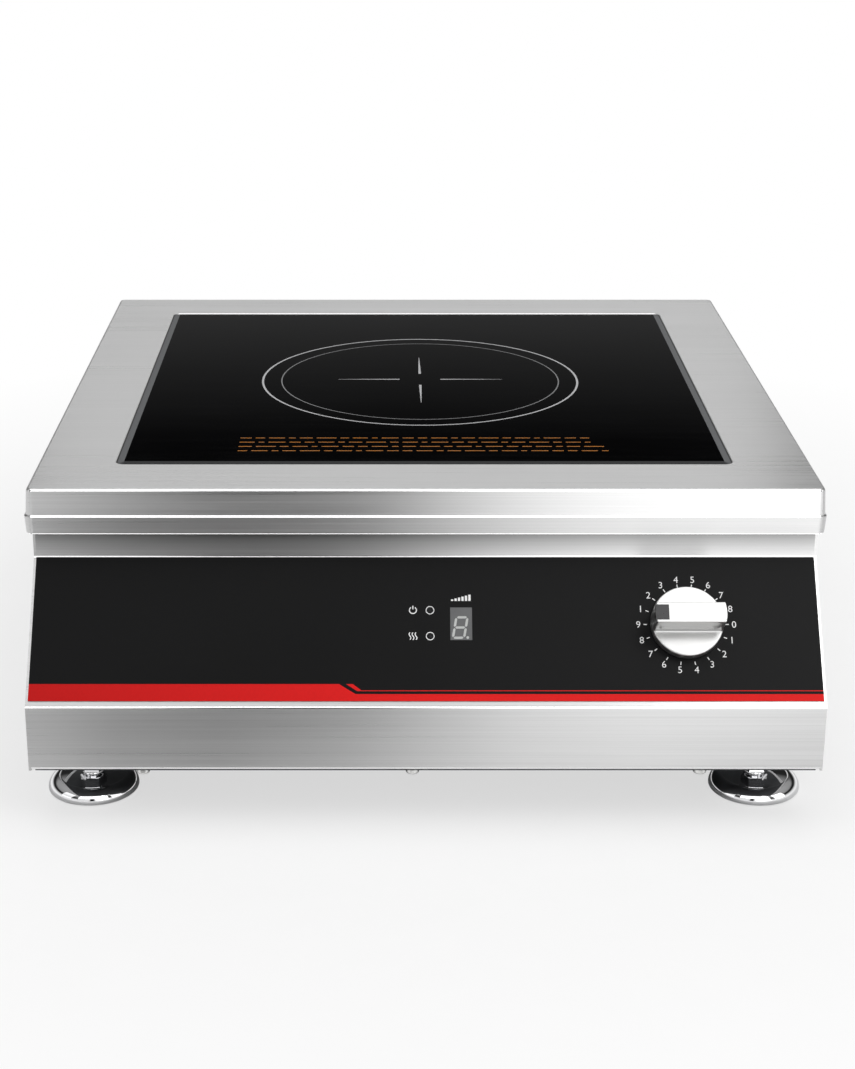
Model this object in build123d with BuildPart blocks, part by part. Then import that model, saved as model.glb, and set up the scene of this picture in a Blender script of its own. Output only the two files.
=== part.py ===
from build123d import *
import os
from math import cos, pi, radians, sin, sqrt, tan

os.makedirs("parts", exist_ok=True)

# A countertop induction cooker. Millimetres, +Z up, the front faces -Y, the table is at z = 0.

# Casing sheet and outline
sheet = 1.2              # thickness of the stainless sheet
bend = 2.0               # outer radius of its folds
deck_height = 165.0      # table to the steel deck
stand_height = 30.6      # table to the underside of the base plate
deck_size = 400.0        # square deck, at its upper edge
deck_corner = 3.0        # plan radius of the deck's corners
deck_edge = 1.5          # rounding of the deck's upper edge
rim_upper = 13.6         # height of the rim's flared upper band
rim_bead = 0.8           # sloped step between the two bands
rim_height = 23.5        # whole height of the rim
rim_flare = 0.9          # how far the upper band leans out
rim_tuck = 0.7           # how far the lower band leans back in
rim_room = 0.3           # side panels to the inside of the rim
neck_setback = 5.5       # front wall behind the deck's front edge
rear_setback = 5.5       # rear wall in front of the deck's rear edge
neck_drop = 38.0         # deck to the top of the sloped panel
console_drop = 98.8      # deck to the foot of the sloped panel
panel_angle = 40.0       # lean of the sloped panel from the vertical, degrees
flange = 16.0            # folded-in flanges that take the fasteners
flange_gap = 1.0         # between flanges that meet at a corner
base_gap = 2.8           # base plate inside the outer faces of the walls

# Fasteners
stud_r = 2.0             # weld studs under the deck
stud_length = 7.0
stud_inset = 60.0        # outer studs and screws of a row, in from the deck's side edge
side_inset = 110.0       # side studs and screws, in from the deck's front or rear edge
hole_clear = 0.2         # room round a screw or stud
nut_flats = 7.0
nut_height = 3.2
screw_r = 1.75
screw_length = 6.0
screw_head_r = 3.4
screw_head = 2.6
screw_round = 1.2
screw_inset = 6.0        # casing screws behind the outer face of the wall
cross_length = 3.8       # cross recess of a screw head
cross_width = 1.0
cross_depth = 1.3
front_shift = -2.0       # the front row of screws sits left of the middle
middle_screw = -4.5      # and its middle screw further left

# Glass plate
deck_border = 40.0       # steel between the deck's edge and its square opening
cutout_corner = 5.0
cutout_edge = 0.3        # broken edge round the opening
glass_gap = 0.8          # glass to the edge of the opening
glass_thick = 4.0
glass_proud = 0.3        # glass above the deck
glass_bevel = 3.5        # width of the ground bevel
glass_bevel_drop = 0.7
seal_pad = 0.8           # seal under the glass
seal_cover = 9.0         # how far that pad reaches in
seal_dip = 0.4           # seal below the deck
ledge_reach = 10.0       # ledge under the glass, inside the opening
ledge_flange = 10.0      # its flange under the deck

# Heating
insulation_r = 105.0
insulation_thick = 1.5
wire_r = 1.5
wire_pitch = 3.5
coil_turns = 20
coil_start = 24.0        # radius where the winding starts
coil_inlet = 10.0        # tighter arc that brings the wire in
coil_inlet_turn = 60.0
coil_clear = 0.3         # wire to its carrier and to the insulation
gap_samples = 1600       # points on the wire at which its own gap is measured
carrier_r = 107.0
carrier_thick = 6.0
ferrite_count = 8
ferrite_start = 30.0
ferrite_end = 92.0
ferrite_width = 12.0
ferrite_thick = 5.0
ferrite_pocket = 4.0
sensor_r = 11.9
sensor_flange_r = 14.0
sensor_flange = 2.0
sensor_tip_r = 5.0
sensor_fit = 0.1
spacer_ring = 100.0      # radius on which the coil spacers stand
spacer_r = 5.0
spacer_length = 10.0
rail_width = 22.0
rail_depth = 16.0
rail_sheet = 1.5
rail_tab = 30.0          # end tab against the side panel
coil_screw_r = 2.0
coil_screw_head_r = 3.5
coil_screw_head = 2.5
coil_screw_end = 3.0     # screw below the top of the rail
lead_bend = 4.0
inner_lead_bend = 3.6
lead_hole_r = 4.0
lead_out = 24.0          # outer lead past the edge of its carrier

# Fan
fan_size = 120.0
fan_depth = 38.0
fan_wall = 2.5           # thinnest wall round the bore
fan_side_gap = 38.0      # fan to the right side panel
fan_back = 48.0          # fan's middle behind the deck's middle
fan_corner = 6.0
fan_hole_inset = 7.5
fan_hub_r = 20.0
fan_hub_wall = 3.0
fan_hub_foot = 6.0       # hub above the bottom of the frame
fan_hub_top = 34.0
fan_floor = 4.0          # motor plate and struts
fan_strut = 6.0
bearing_r = 5.0
bearing_top = 26.0
bearing_floor = 1.5
spindle_r = 2.0
blade_count = 7
blade_thick = 1.6
blade_root_chord = 24.0
blade_root_pitch = 50.0
blade_tip_chord = 30.0
blade_tip_pitch = 30.0
blade_tip_gap = 2.4
intake_rows = 9
intake_step = 11.0
intake_slot = 5.0
intake_rib = 6.0

# Power electronics
board_width = 170.0
board_length = 210.0
board_thick = 1.6
board_side_gap = 21.0    # power board to the left side panel
board_front = 167.0      # its front edge in front of the deck's middle
standoff_r = 3.5
standoff_height = 8.0
standoff_pin_r = 1.6
standoff_pin = 3.0
standoff_inset = 7.0
sink_width = 80.0
sink_length = 90.0
sink_base = 6.0
sink_fins = 12
sink_fin = 2.0
sink_fin_height = 34.0
sink_leg_r = 3.0
chip_width = 16.0
chip_length = 21.0
chip_thick = 5.0
chip_spacing = 30.0
bridge_width = 30.0
bridge_length = 20.0
cap_width = 28.0
cap_length = 42.0
cap_height = 36.0
cap_round = 2.0
cap_spacing = 50.0
choke_r = 14.0
choke_core_r = 6.0
block_width = 44.0
block_length = 22.0
block_height = 20.0
block_hole_r = 3.0
block_hole_depth = 6.0
block_pitch = 12.0
mains_lead_r = 1.6

# Rear panel
vent_width = 5.0
vent_height = 36.0
vent_pitch = 14.0
vent_count = 16
vent_row_gap = 14.0
vent_drop = 60.0         # deck to the middle of the two rows
cord_inset = 48.5        # cord's axis in from the left wall
cord_rise = 26.0         # and above the underside of the base plate
cord_bore_r = 5.0
bushing_r = 7.5
bushing_flange_r = 11.0
bushing_flange = 5.0
bushing_round = 1.2
bushing_inner = 9.0
bushing_fit = 0.1

# Controls on the sloped panel, across from the middle and up from its foot
overlay_thick = 0.5
overlay_low = 3.3        # steel strip below the overlay
overlay_top_gap = 0.4
overlay_side_gap = 0.1
dial_inset = 67.8        # dial's axis in from the right wall
dial_v = 43.1
led_u = 2.3
power_led_v = 50.6
heat_led_v = 37.0
led_r = 1.5
led_flange_r = 1.9
led_flange = 1.0
led_proud = 0.3
led_round = 1.2
display_u = 17.9
display_v = 43.5
window_width = 11.0
window_height = 17.2
window_fit = 0.05
display_width = 12.4
display_height = 18.6
display_depth = 8.0
control_board_right = 60.0
control_board_v = 46.0
control_board_height = 48.0
control_post_r = 3.0
control_post_inset = 5.0
ribbon_width = 20.0
ribbon_thick = 1.0
ribbon_bend = 6.0
ribbon_inset = 7.0       # ribbon's end behind the power board's front edge
ribbon_v = 30.0
ribbon_margin = 3.2      # control board past the ribbon's edge

# Rotary switch and knob, heights above the steel of the panel
switch_width = 18.0
switch_depth = 12.0
bushing_thread_r = 3.5
bushing_thread_top = 3.0
bushing_hole_r = 3.6
shaft_r = 3.0
shaft_fit = 0.05
shaft_flat = 2.2         # flat of the shaft from its axis
shaft_flat_start = 3.6
shaft_top = 16.0
shaft_end_gap = 1.0
switch_nut_flats = 10.0
switch_nut_height = 2.0
overlay_hole_r = 7.0
knob_r = 18.1
knob_gap = 0.8           # knob above the overlay
knob_disc = 6.8
knob_top = 21.0
knob_bar = 10.4          # width of the grip bar
knob_wall = 2.2
knob_ceiling = 4.2
knob_round = 0.7
knob_bar_round = 0.5
knob_cove = 1.0          # hollow rounding where the bar meets the disc
grip_inset = 0.3         # ends of the bar inside the edge of the disc
knob_fit = 0.03
scoop_depth = 1.0        # finger scoop in each side of the bar
scoop_length = 30.0
scoop_round = 3.5
scoop_margin = 1.0
inlay_length = 7.1
inlay_width = 7.9
inlay_depth = 4.0
inlay_dip = 0.15

# Levelling feet
foot_side_inset = 25.4   # foot's axis in from the side wall
foot_inset = 45.0        # foot's axis behind the front wall, or in front of the rear wall
sole_r = 19.6
sole_thick = 3.0
sole_fit = 0.1
dish_r = 23.6
dish_foot = 0.5          # lower edge of the dish above the table
dish_bulge = 2.1         # height of its widest circle
dish_roll = 6.0          # radius of the rolled rim above that circle
dish_slope = 6.3         # rise of the dish from its rim to its neck, degrees
neck_r = 4.9
neck_cove = 1.0
neck_top = 11.0
pivot_r = 3.5
pivot_floor = 6.0
pivot_gap = 0.3
collar_flats = 13.0      # hexagonal collar that turns the stem
collar_height = 6.0
collar_chamfer = 0.7
stem_r = 4.0
stem_top = 55.0
stem_chamfer = 0.8
thread_fit = 0.05
foot_hole_clear = 0.6
foot_nut_flats = 13.0
foot_nut_height = 5.0

# Heights and depths that follow
deck_under = deck_height - sheet
base_top = stand_height + sheet
panel_top_z = deck_height - neck_drop
panel_foot_z = deck_height - console_drop
panel_rise = console_drop - neck_drop
panel_run = panel_rise * tan(radians(panel_angle))
panel_length = panel_rise / cos(radians(panel_angle))
rim_reach = rim_flare + rim_bead
depth = panel_run - neck_setback + deck_size + rim_reach
apron_y = -depth / 2
neck_y = apron_y + panel_run
deck_front = neck_y - neck_setback
deck_y = deck_front + deck_size / 2
rear_y = deck_front + deck_size - rear_setback
body_width = deck_size - 2 * (sheet + rim_room)
wall_x = body_width / 2
inner_x = wall_x - sheet
cutout = deck_size - 2 * deck_border
stud_spread = deck_size / 2 - stud_inset
side_spread = deck_size / 2 - side_inset
foot_x = wall_x - foot_side_inset
dial_u = wall_x - dial_inset
cord_x = cord_inset - wall_x
cord_z = stand_height + cord_rise
glass_top_z = deck_height + glass_proud
glass_under = glass_top_z - glass_thick
ledge_top = glass_under - seal_pad

# The sloped panel's own plane: across, up the slope, and out of its steel face
panel_plane = Plane(
    origin=(0, apron_y, panel_foot_z),
    x_dir=(1, 0, 0),
    z_dir=(0, -cos(radians(panel_angle)), sin(radians(panel_angle))),
)
dial_plane = Plane(
    origin=panel_plane.from_local_coords((dial_u, dial_v, 0)),
    x_dir=(1, 0, 0),
    z_dir=panel_plane.z_dir,
)
dial_axis = Axis(dial_plane.origin, dial_plane.z_dir)
led_points = [(led_u, power_led_v), (led_u, heat_led_v)]

# Fastener places
side_flange_x = inner_x - (flange - sheet) / 2
side_flange_front = neck_y + flange + flange_gap
side_flange_back = rear_y - flange - flange_gap
side_foot_front = apron_y + flange + flange_gap
front_stud_y = neck_y + sheet + (flange - sheet) / 2
rear_stud_y = rear_y - sheet - (flange - sheet) / 2
row_x = (-stud_spread, 0, stud_spread)
side_ys = (deck_y - side_spread, deck_y + side_spread)
front_studs = [(x, front_stud_y) for x in row_x]
rear_studs = [(x, rear_stud_y) for x in row_x]
side_studs = [(side * side_flange_x, y) for side in (-1, 1) for y in side_ys]
front_screws = [(x + front_shift, apron_y + screw_inset) for x in (-stud_spread, middle_screw, stud_spread)]
rear_screws = [(x, rear_stud_y) for x in row_x]
side_screws = [(side * side_flange_x, y) for side in (-1, 1) for y in side_ys]
screw_points = front_screws + rear_screws + side_screws

foot_front_y = apron_y + foot_inset
foot_back_y = rear_y - foot_inset
foot_points = {
    "front_left": (-foot_x, foot_front_y),
    "front_right": (foot_x, foot_front_y),
    "rear_left": (-foot_x, foot_back_y),
    "rear_right": (foot_x, foot_back_y),
}


def hexagon_r(flats):
    """Corner radius of a hexagon from its width across flats."""
    return flats / sqrt(3)


def write(part, label):
    part.label = label
    export_step(part, f"parts/{label}.step")


# Deck: a square tray upside down, its rim flared, stepped and tucked in, with studs below
rim_sections = [
    (deck_height, 0),
    (deck_height - rim_upper, rim_flare),
    (deck_height - rim_upper - rim_bead, rim_reach),
    (deck_height - rim_height, rim_reach - rim_tuck),
]
hollow_sections = [(deck_under, 0)] + rim_sections[1:]

with BuildPart() as deck:
    for z, reach in rim_sections:
        with BuildSketch(Plane((0, deck_y, z))):
            RectangleRounded(deck_size + 2 * reach, deck_size + 2 * reach, deck_corner + reach)
    loft(ruled=True)
    fillet(deck.faces().sort_by(Axis.Z)[-1].edges(), deck_edge)
    for z, reach in hollow_sections:
        with BuildSketch(Plane((0, deck_y, z))):
            inside = deck_size + 2 * (reach - sheet)
            RectangleRounded(inside, inside, deck_corner + reach - sheet)
    loft(ruled=True, mode=Mode.SUBTRACT)
    with BuildSketch(Plane((0, deck_y, deck_height))):
        RectangleRounded(cutout, cutout, cutout_corner)
    extrude(amount=-2 * sheet, mode=Mode.SUBTRACT)
    chamfer(deck.faces().sort_by(Axis.Z)[-1].inner_wires()[0].edges(), cutout_edge)
    with BuildSketch(Plane.XY.offset(deck_under)):
        with Locations(*front_studs, *rear_studs, *side_studs):
            Circle(stud_r)
    extrude(amount=-stud_length)
write(deck.part, "deck")

with BuildPart() as deck_nuts:
    with BuildSketch(Plane.XY.offset(deck_under - sheet)):
        with Locations(*front_studs, *rear_studs, *side_studs):
            RegularPolygon(hexagon_r(nut_flats), 6)
            Circle(stud_r, mode=Mode.SUBTRACT)
    extrude(amount=-nut_height)
write(deck_nuts.part, "deck_nuts")

# Ledge under the opening: a folded frame that hangs from the deck and carries the glass
with BuildPart() as glass_ledge:
    with BuildSketch(Plane((0, deck_y, deck_under))):
        outer = cutout + 2 * ledge_flange
        RectangleRounded(outer, outer, cutout_corner + ledge_flange)
        RectangleRounded(cutout, cutout, cutout_corner, mode=Mode.SUBTRACT)
    extrude(amount=-sheet)
    with BuildSketch(Plane((0, deck_y, deck_under))):
        RectangleRounded(cutout + 2 * sheet, cutout + 2 * sheet, cutout_corner + sheet)
        RectangleRounded(cutout, cutout, cutout_corner, mode=Mode.SUBTRACT)
    extrude(amount=ledge_top - sheet - deck_under)
    with BuildSketch(Plane((0, deck_y, ledge_top))):
        RectangleRounded(cutout + 2 * sheet, cutout + 2 * sheet, cutout_corner + sheet)
        inner = cutout - 2 * ledge_reach
        RectangleRounded(inner, inner, cutout_corner, mode=Mode.SUBTRACT)
    extrude(amount=-sheet)
write(glass_ledge.part, "glass_ledge")

glass_size = cutout - 2 * glass_gap
glass_corner = cutout_corner - glass_gap

with BuildPart() as glass_seal:
    with BuildSketch(Plane((0, deck_y, ledge_top))):
        RectangleRounded(cutout, cutout, cutout_corner)
        pad = cutout - 2 * seal_cover
        RectangleRounded(pad, pad, cutout_corner, mode=Mode.SUBTRACT)
    extrude(amount=seal_pad)
    with BuildSketch(Plane((0, deck_y, glass_under))):
        RectangleRounded(cutout, cutout, cutout_corner)
        RectangleRounded(glass_size, glass_size, glass_corner, mode=Mode.SUBTRACT)
    extrude(amount=deck_height - seal_dip - glass_under)
write(glass_seal.part, "glass_seal")

with BuildPart() as glass_top:
    with BuildSketch(Plane((0, deck_y, glass_under))):
        RectangleRounded(glass_size, glass_size, glass_corner)
    extrude(amount=glass_thick)
    top_face = glass_top.faces().sort_by(Axis.Z)[-1]
    chamfer(top_face.edges(), glass_bevel, glass_bevel_drop, reference=top_face)
write(glass_top.part, "glass_top")

# Front panel: neck, sloped panel and apron folded from one sheet
with BuildPart() as front_panel:
    with BuildSketch(Plane.YZ):
        with BuildLine():
            FilletPolyline(
                (neck_y + flange, deck_under),
                (neck_y, deck_under),
                (neck_y, panel_top_z),
                (apron_y, panel_foot_z),
                (apron_y, base_top),
                (apron_y + flange, base_top),
                radius=bend,
            )
            offset(amount=sheet, side=Side.LEFT)
        make_face()
    extrude(amount=inner_x, both=True)
    with BuildSketch(panel_plane):
        with Locations((dial_u, dial_v)):
            Circle(bushing_hole_r)
        with Locations(*led_points):
            Circle(led_r + hole_clear)
        with Locations((display_u, display_v)):
            Rectangle(display_width + 2 * hole_clear, display_height + 2 * hole_clear)
    extrude(amount=2 * sheet, both=True, mode=Mode.SUBTRACT)
    with BuildSketch(Plane.XY.offset(deck_under)):
        with Locations(*front_studs):
            Circle(stud_r + hole_clear)
    extrude(amount=-2 * sheet, mode=Mode.SUBTRACT)
    with BuildSketch(Plane.XY.offset(base_top)):
        with Locations(*front_screws):
            Circle(screw_r + hole_clear)
    extrude(amount=2 * sheet, mode=Mode.SUBTRACT)
write(front_panel.part, "front_panel")

overlay_width = 2 * (inner_x - overlay_side_gap)
overlay_height = panel_length - overlay_top_gap - overlay_low

with BuildPart() as control_overlay:
    with BuildSketch(panel_plane):
        with Locations((0, overlay_low + overlay_height / 2)):
            Rectangle(overlay_width, overlay_height)
        with Locations((dial_u, dial_v)):
            Circle(overlay_hole_r, mode=Mode.SUBTRACT)
        with Locations(*led_points):
            Circle(led_r + hole_clear, mode=Mode.SUBTRACT)
        with Locations((display_u, display_v)):
            Rectangle(window_width, window_height, mode=Mode.SUBTRACT)
    extrude(amount=overlay_thick)
write(control_overlay.part, "control_overlay")

with BuildPart() as display_window:
    with BuildSketch(panel_plane):
        with Locations((display_u, display_v)):
            Rectangle(window_width - 2 * window_fit, window_height - 2 * window_fit)
    extrude(amount=overlay_thick)
write(display_window.part, "display_window")

# Side panels: flat sheets to the casing's outline, with a flange above and below
for label, side in (("left_side_panel", -1), ("right_side_panel", 1)):
    with BuildPart() as side_panel:
        with BuildSketch(Plane.YZ.offset(side * inner_x)):
            with BuildLine():
                FilletPolyline(
                    (neck_y, deck_under),
                    (neck_y, panel_top_z),
                    (apron_y, panel_foot_z),
                    (apron_y, base_top),
                    radius=bend,
                )
                Polyline(
                    (apron_y, base_top), (rear_y, base_top), (rear_y, deck_under), (neck_y, deck_under)
                )
            make_face()
        extrude(amount=side * sheet)
        with BuildSketch(Plane.XY.offset(deck_under)):
            with Locations((side * side_flange_x, (side_flange_front + side_flange_back) / 2)):
                Rectangle(flange - sheet, side_flange_back - side_flange_front)
            with Locations(*[(side * side_flange_x, y) for y in side_ys]):
                Circle(stud_r + hole_clear, mode=Mode.SUBTRACT)
        extrude(amount=-sheet)
        with BuildSketch(Plane.XY.offset(base_top)):
            with Locations((side * side_flange_x, (side_foot_front + side_flange_back) / 2)):
                Rectangle(flange - sheet, side_flange_back - side_foot_front)
            with Locations(*[(side * side_flange_x, y) for y in side_ys]):
                Circle(screw_r + hole_clear, mode=Mode.SUBTRACT)
        extrude(amount=sheet)
    write(side_panel.part, label)

# Rear panel: folded at top and bottom, with two rows of exhaust slots and the cord hole
rear_plane = Plane.XZ.offset(-rear_y)

with BuildPart() as rear_panel:
    with BuildSketch(Plane.YZ):
        with BuildLine():
            FilletPolyline(
                (rear_y - flange, deck_under),
                (rear_y, deck_under),
                (rear_y, base_top),
                (rear_y - flange, base_top),
                radius=bend,
            )
            offset(amount=sheet, side=Side.RIGHT)
        make_face()
    extrude(amount=inner_x, both=True)
    with BuildSketch(rear_plane):
        with Locations((0, deck_height - vent_drop)):
            with GridLocations(vent_pitch, vent_height + vent_row_gap, vent_count, 2):
                SlotOverall(vent_height, vent_width, rotation=90)
        with Locations((cord_x, cord_z)):
            Circle(bushing_r + bushing_fit)
    extrude(amount=2 * sheet, both=True, mode=Mode.SUBTRACT)
    with BuildSketch(Plane.XY.offset(deck_under)):
        with Locations(*rear_studs):
            Circle(stud_r + hole_clear)
    extrude(amount=-2 * sheet, mode=Mode.SUBTRACT)
    with BuildSketch(Plane.XY.offset(base_top)):
        with Locations(*rear_screws):
            Circle(screw_r + hole_clear)
    extrude(amount=2 * sheet, mode=Mode.SUBTRACT)
write(rear_panel.part, "rear_panel")

# Cord bushing: a flanged sleeve through the rear panel, with a snap collar inside
with BuildPart() as cord_bushing:
    with BuildSketch(rear_plane):
        with Locations((cord_x, cord_z)):
            Circle(bushing_flange_r)
    extrude(amount=-bushing_flange)
    fillet(cord_bushing.edges().sort_by(Axis.Y)[-1], bushing_round)
    with BuildSketch(rear_plane):
        with Locations((cord_x, cord_z)):
            Circle(bushing_r)
    extrude(amount=sheet + bushing_inner)
    with BuildSketch(rear_plane.offset(sheet)):
        with Locations((cord_x, cord_z)):
            Circle((bushing_r + bushing_flange_r) / 2)
    extrude(amount=sheet)
    with BuildSketch(rear_plane.offset(-bushing_flange)):
        with Locations((cord_x, cord_z)):
            Circle(cord_bore_r)
    extrude(amount=bushing_flange + sheet + bushing_inner, mode=Mode.SUBTRACT)
write(cord_bushing.part, "cord_bushing")

# Fan place: on the base, right of the middle
fan_x = inner_x - fan_side_gap - fan_size / 2
fan_y = deck_y + fan_back
fan_plane = Plane((fan_x, fan_y, base_top))
fan_bore_r = fan_size / 2 - fan_wall
fan_hole_step = fan_size - 2 * fan_hole_inset
intake_r = fan_bore_r - intake_slot

# Base plate: closes the casing from below, slotted under the fan
base_front = apron_y + base_gap
base_back = rear_y - base_gap

with BuildPart() as base_plate:
    with BuildSketch(Plane.XY.offset(stand_height)):
        with Locations((0, (base_front + base_back) / 2)):
            Rectangle(body_width - 2 * base_gap, base_back - base_front)
        with Locations(*screw_points):
            Circle(screw_r + hole_clear, mode=Mode.SUBTRACT)
        with Locations(*foot_points.values()):
            Circle(stem_r + foot_hole_clear, mode=Mode.SUBTRACT)
        with Locations((fan_x, fan_y)):
            with GridLocations(fan_hole_step, fan_hole_step, 2, 2):
                Circle(screw_r + hole_clear, mode=Mode.SUBTRACT)
    extrude(amount=sheet)
    with BuildSketch(Plane((fan_x, fan_y, stand_height))):
        for row in range(intake_rows):
            row_y = (row - (intake_rows - 1) / 2) * intake_step
            slot_length = sqrt(intake_r**2 - row_y**2) - intake_rib / 2
            slot_x = (intake_rib + slot_length) / 2
            with Locations((-slot_x, row_y), (slot_x, row_y)):
                SlotOverall(slot_length, intake_slot)
    extrude(amount=sheet, mode=Mode.SUBTRACT)
write(base_plate.part, "base_plate")

# Casing screws, driven from below
with BuildPart() as case_screws:
    with BuildSketch(Plane.XY.offset(stand_height)):
        with Locations(*screw_points):
            Circle(screw_head_r)
    extrude(amount=-screw_head)
    fillet(case_screws.edges().group_by(Axis.Z)[0], screw_round)
    with BuildSketch(Plane.XY.offset(stand_height)):
        with Locations(*screw_points):
            Circle(screw_r)
    extrude(amount=screw_length)
    with BuildSketch(Plane.XY.offset(stand_height - screw_head)):
        with Locations(*screw_points):
            Rectangle(cross_length, cross_width)
            Rectangle(cross_width, cross_length)
    extrude(amount=cross_depth, mode=Mode.SUBTRACT)
write(case_screws.part, "case_screws")

# Levelling feet: a dish with a rolled rim on a soft sole, which swivels on a threaded stem
dish_curl = dish_bulge - dish_foot
roll_x = dish_r - dish_roll
roll_end_x = roll_x - dish_roll * sin(radians(dish_slope))
roll_end_z = dish_bulge + dish_roll * cos(radians(dish_slope))
crown_x = neck_r + neck_cove
crown_z = roll_end_z + (roll_end_x - crown_x) * tan(radians(dish_slope))

for place, (x, y) in foot_points.items():
    foot_plane = Plane((x, y, 0))
    side_plane = Plane(origin=(x, y, 0), x_dir=(1, 0, 0), z_dir=(0, -1, 0))

    with BuildPart() as foot_sole:
        with BuildSketch(foot_plane):
            Circle(sole_r)
        extrude(amount=sole_thick)
    write(foot_sole.part, f"foot_sole_{place}")

    with BuildPart() as foot_dish:
        with BuildSketch(side_plane):
            with BuildLine():
                Polyline(
                    (0, neck_top),
                    (0, sole_thick),
                    (sole_r + sole_fit, sole_thick),
                    (sole_r + sole_fit, dish_foot),
                    (dish_r - dish_curl, dish_foot),
                )
                CenterArc((dish_r - dish_curl, dish_bulge), dish_curl, -90, 90)
                CenterArc((roll_x, dish_bulge), dish_roll, 0, 90 + dish_slope)
                Line((roll_end_x, roll_end_z), (crown_x, crown_z))
                RadiusArc((crown_x, crown_z), (neck_r, crown_z + neck_cove), neck_cove)
                Polyline((neck_r, crown_z + neck_cove), (neck_r, neck_top), (0, neck_top))
            make_face()
        revolve(axis=Axis((x, y, 0), (0, 0, 1)))
        with BuildSketch(foot_plane.offset(pivot_floor)):
            Circle(pivot_r + thread_fit)
        extrude(amount=neck_top - pivot_floor, mode=Mode.SUBTRACT)
    write(foot_dish.part, f"foot_dish_{place}")

    with BuildPart() as foot_stem:
        with BuildSketch(foot_plane.offset(pivot_floor + pivot_gap)):
            Circle(pivot_r)
        extrude(amount=neck_top - pivot_floor - pivot_gap)
        with BuildSketch(foot_plane.offset(neck_top)):
            RegularPolygon(hexagon_r(collar_flats), 6)
        extrude(amount=collar_height)
        collar_face = foot_stem.faces().filter_by(Axis.Z).sort_by(Axis.Z)[-1]
        collar_foot = foot_stem.faces().filter_by(Axis.Z).sort_by(Axis.Z)[1]
        chamfer(collar_face.edges(), collar_chamfer)
        chamfer(collar_foot.outer_wire().edges(), collar_chamfer)
        with BuildSketch(foot_plane.offset(neck_top)):
            Circle(stem_r)
        extrude(amount=stem_top - neck_top)
        chamfer(foot_stem.edges().sort_by(Axis.Z)[-1], stem_chamfer)
    write(foot_stem.part, f"foot_stem_{place}")

for label, nut_z in (("foot_weld_nuts", base_top), ("foot_lock_nuts", stand_height - foot_nut_height)):
    with BuildPart() as foot_nuts:
        with BuildSketch(Plane.XY.offset(nut_z)):
            with Locations(*foot_points.values()):
                RegularPolygon(hexagon_r(foot_nut_flats), 6)
                Circle(stem_r + thread_fit, mode=Mode.SUBTRACT)
        extrude(amount=foot_nut_height)
    write(foot_nuts.part, label)

# Heating stack under the glass
insulation_under = glass_under - insulation_thick
coil_z = insulation_under - coil_clear - wire_r
carrier_top = coil_z - wire_r - coil_clear
carrier_under = carrier_top - carrier_thick
rail_top = carrier_under - spacer_length
spacer_step = spacer_ring / sqrt(2)
spacer_points = [(sx * spacer_step, sy * spacer_step) for sx in (-1, 1) for sy in (-1, 1)]

with BuildPart() as insulation_sheet:
    with BuildSketch(Plane((0, deck_y, insulation_under))):
        Circle(insulation_r)
        Circle(sensor_tip_r + hole_clear, mode=Mode.SUBTRACT)
    extrude(amount=insulation_thick)
write(insulation_sheet.part, "insulation_sheet")

# Coil: half turns about two centres, so that each turn steps out by one pitch; the ends run straight
coil_plane = Plane(origin=(0, deck_y, coil_z), x_dir=(-1, 0, 0), z_dir=(0, 0, 1))
coil_end = coil_start + coil_turns * wire_pitch
coil_tail = 2 * wire_r
inlet_x = coil_start - coil_inlet + coil_inlet * cos(radians(coil_inlet_turn))
inlet_y = -coil_inlet * sin(radians(coil_inlet_turn))
inlet_dx = sin(radians(coil_inlet_turn))
inlet_dy = cos(radians(coil_inlet_turn))
tail_x = inlet_x - coil_tail * inlet_dx
tail_y = inlet_y - coil_tail * inlet_dy

with BuildPart() as induction_coil:
    with BuildLine(coil_plane) as winding:
        Line((tail_x, tail_y), (inlet_x, inlet_y))
        CenterArc((coil_start - coil_inlet, 0), coil_inlet, -coil_inlet_turn, coil_inlet_turn)
        for half in range(2 * coil_turns):
            half_r = coil_start + half * wire_pitch / 2
            CenterArc((half % 2 * wire_pitch / 2, 0), half_r, half % 2 * 180, 180)
        Line((coil_end, 0), (coil_end, coil_tail))
    coil_path = winding.wire()
    with BuildSketch(Plane(coil_path @ 0, z_dir=coil_path % 0)):
        Circle(wire_r)
    sweep(path=coil_path)
write(induction_coil.part, "induction_coil")

# The least gap of the winding to itself, on points a quarter turn or more apart along the wire
samples = [coil_path @ (i / gap_samples) for i in range(gap_samples + 1)]
step = coil_path.length / gap_samples
apart = int(coil_start * pi / 2 / step)
least = min(
    (samples[i] - samples[j]).length
    for i in range(0, len(samples), 2)
    for j in range(i + apart, len(samples), 2)
)
print("coil: least gap", round(least - 2 * wire_r, 2), "wire length", round(coil_path.length))

lead_inner_x = tail_x - lead_bend * inlet_dx
lead_inner_y = tail_y - lead_bend * inlet_dy

with BuildPart() as coil_carrier:
    with BuildSketch(Plane((0, deck_y, carrier_under))):
        Circle(carrier_r)
        Circle(sensor_r + sensor_fit, mode=Mode.SUBTRACT)
        with Locations(*spacer_points):
            Circle(coil_screw_r + hole_clear, mode=Mode.SUBTRACT)
        with Locations((-lead_inner_x, -lead_inner_y)):
            Circle(lead_hole_r, mode=Mode.SUBTRACT)
    extrude(amount=carrier_thick)
    with BuildSketch(Plane((0, deck_y, carrier_under))):
        with PolarLocations((ferrite_start + ferrite_end) / 2, ferrite_count, 180 / ferrite_count):
            Rectangle(ferrite_end - ferrite_start, ferrite_width)
    extrude(amount=ferrite_pocket, mode=Mode.SUBTRACT)
write(coil_carrier.part, "coil_carrier")

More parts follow.
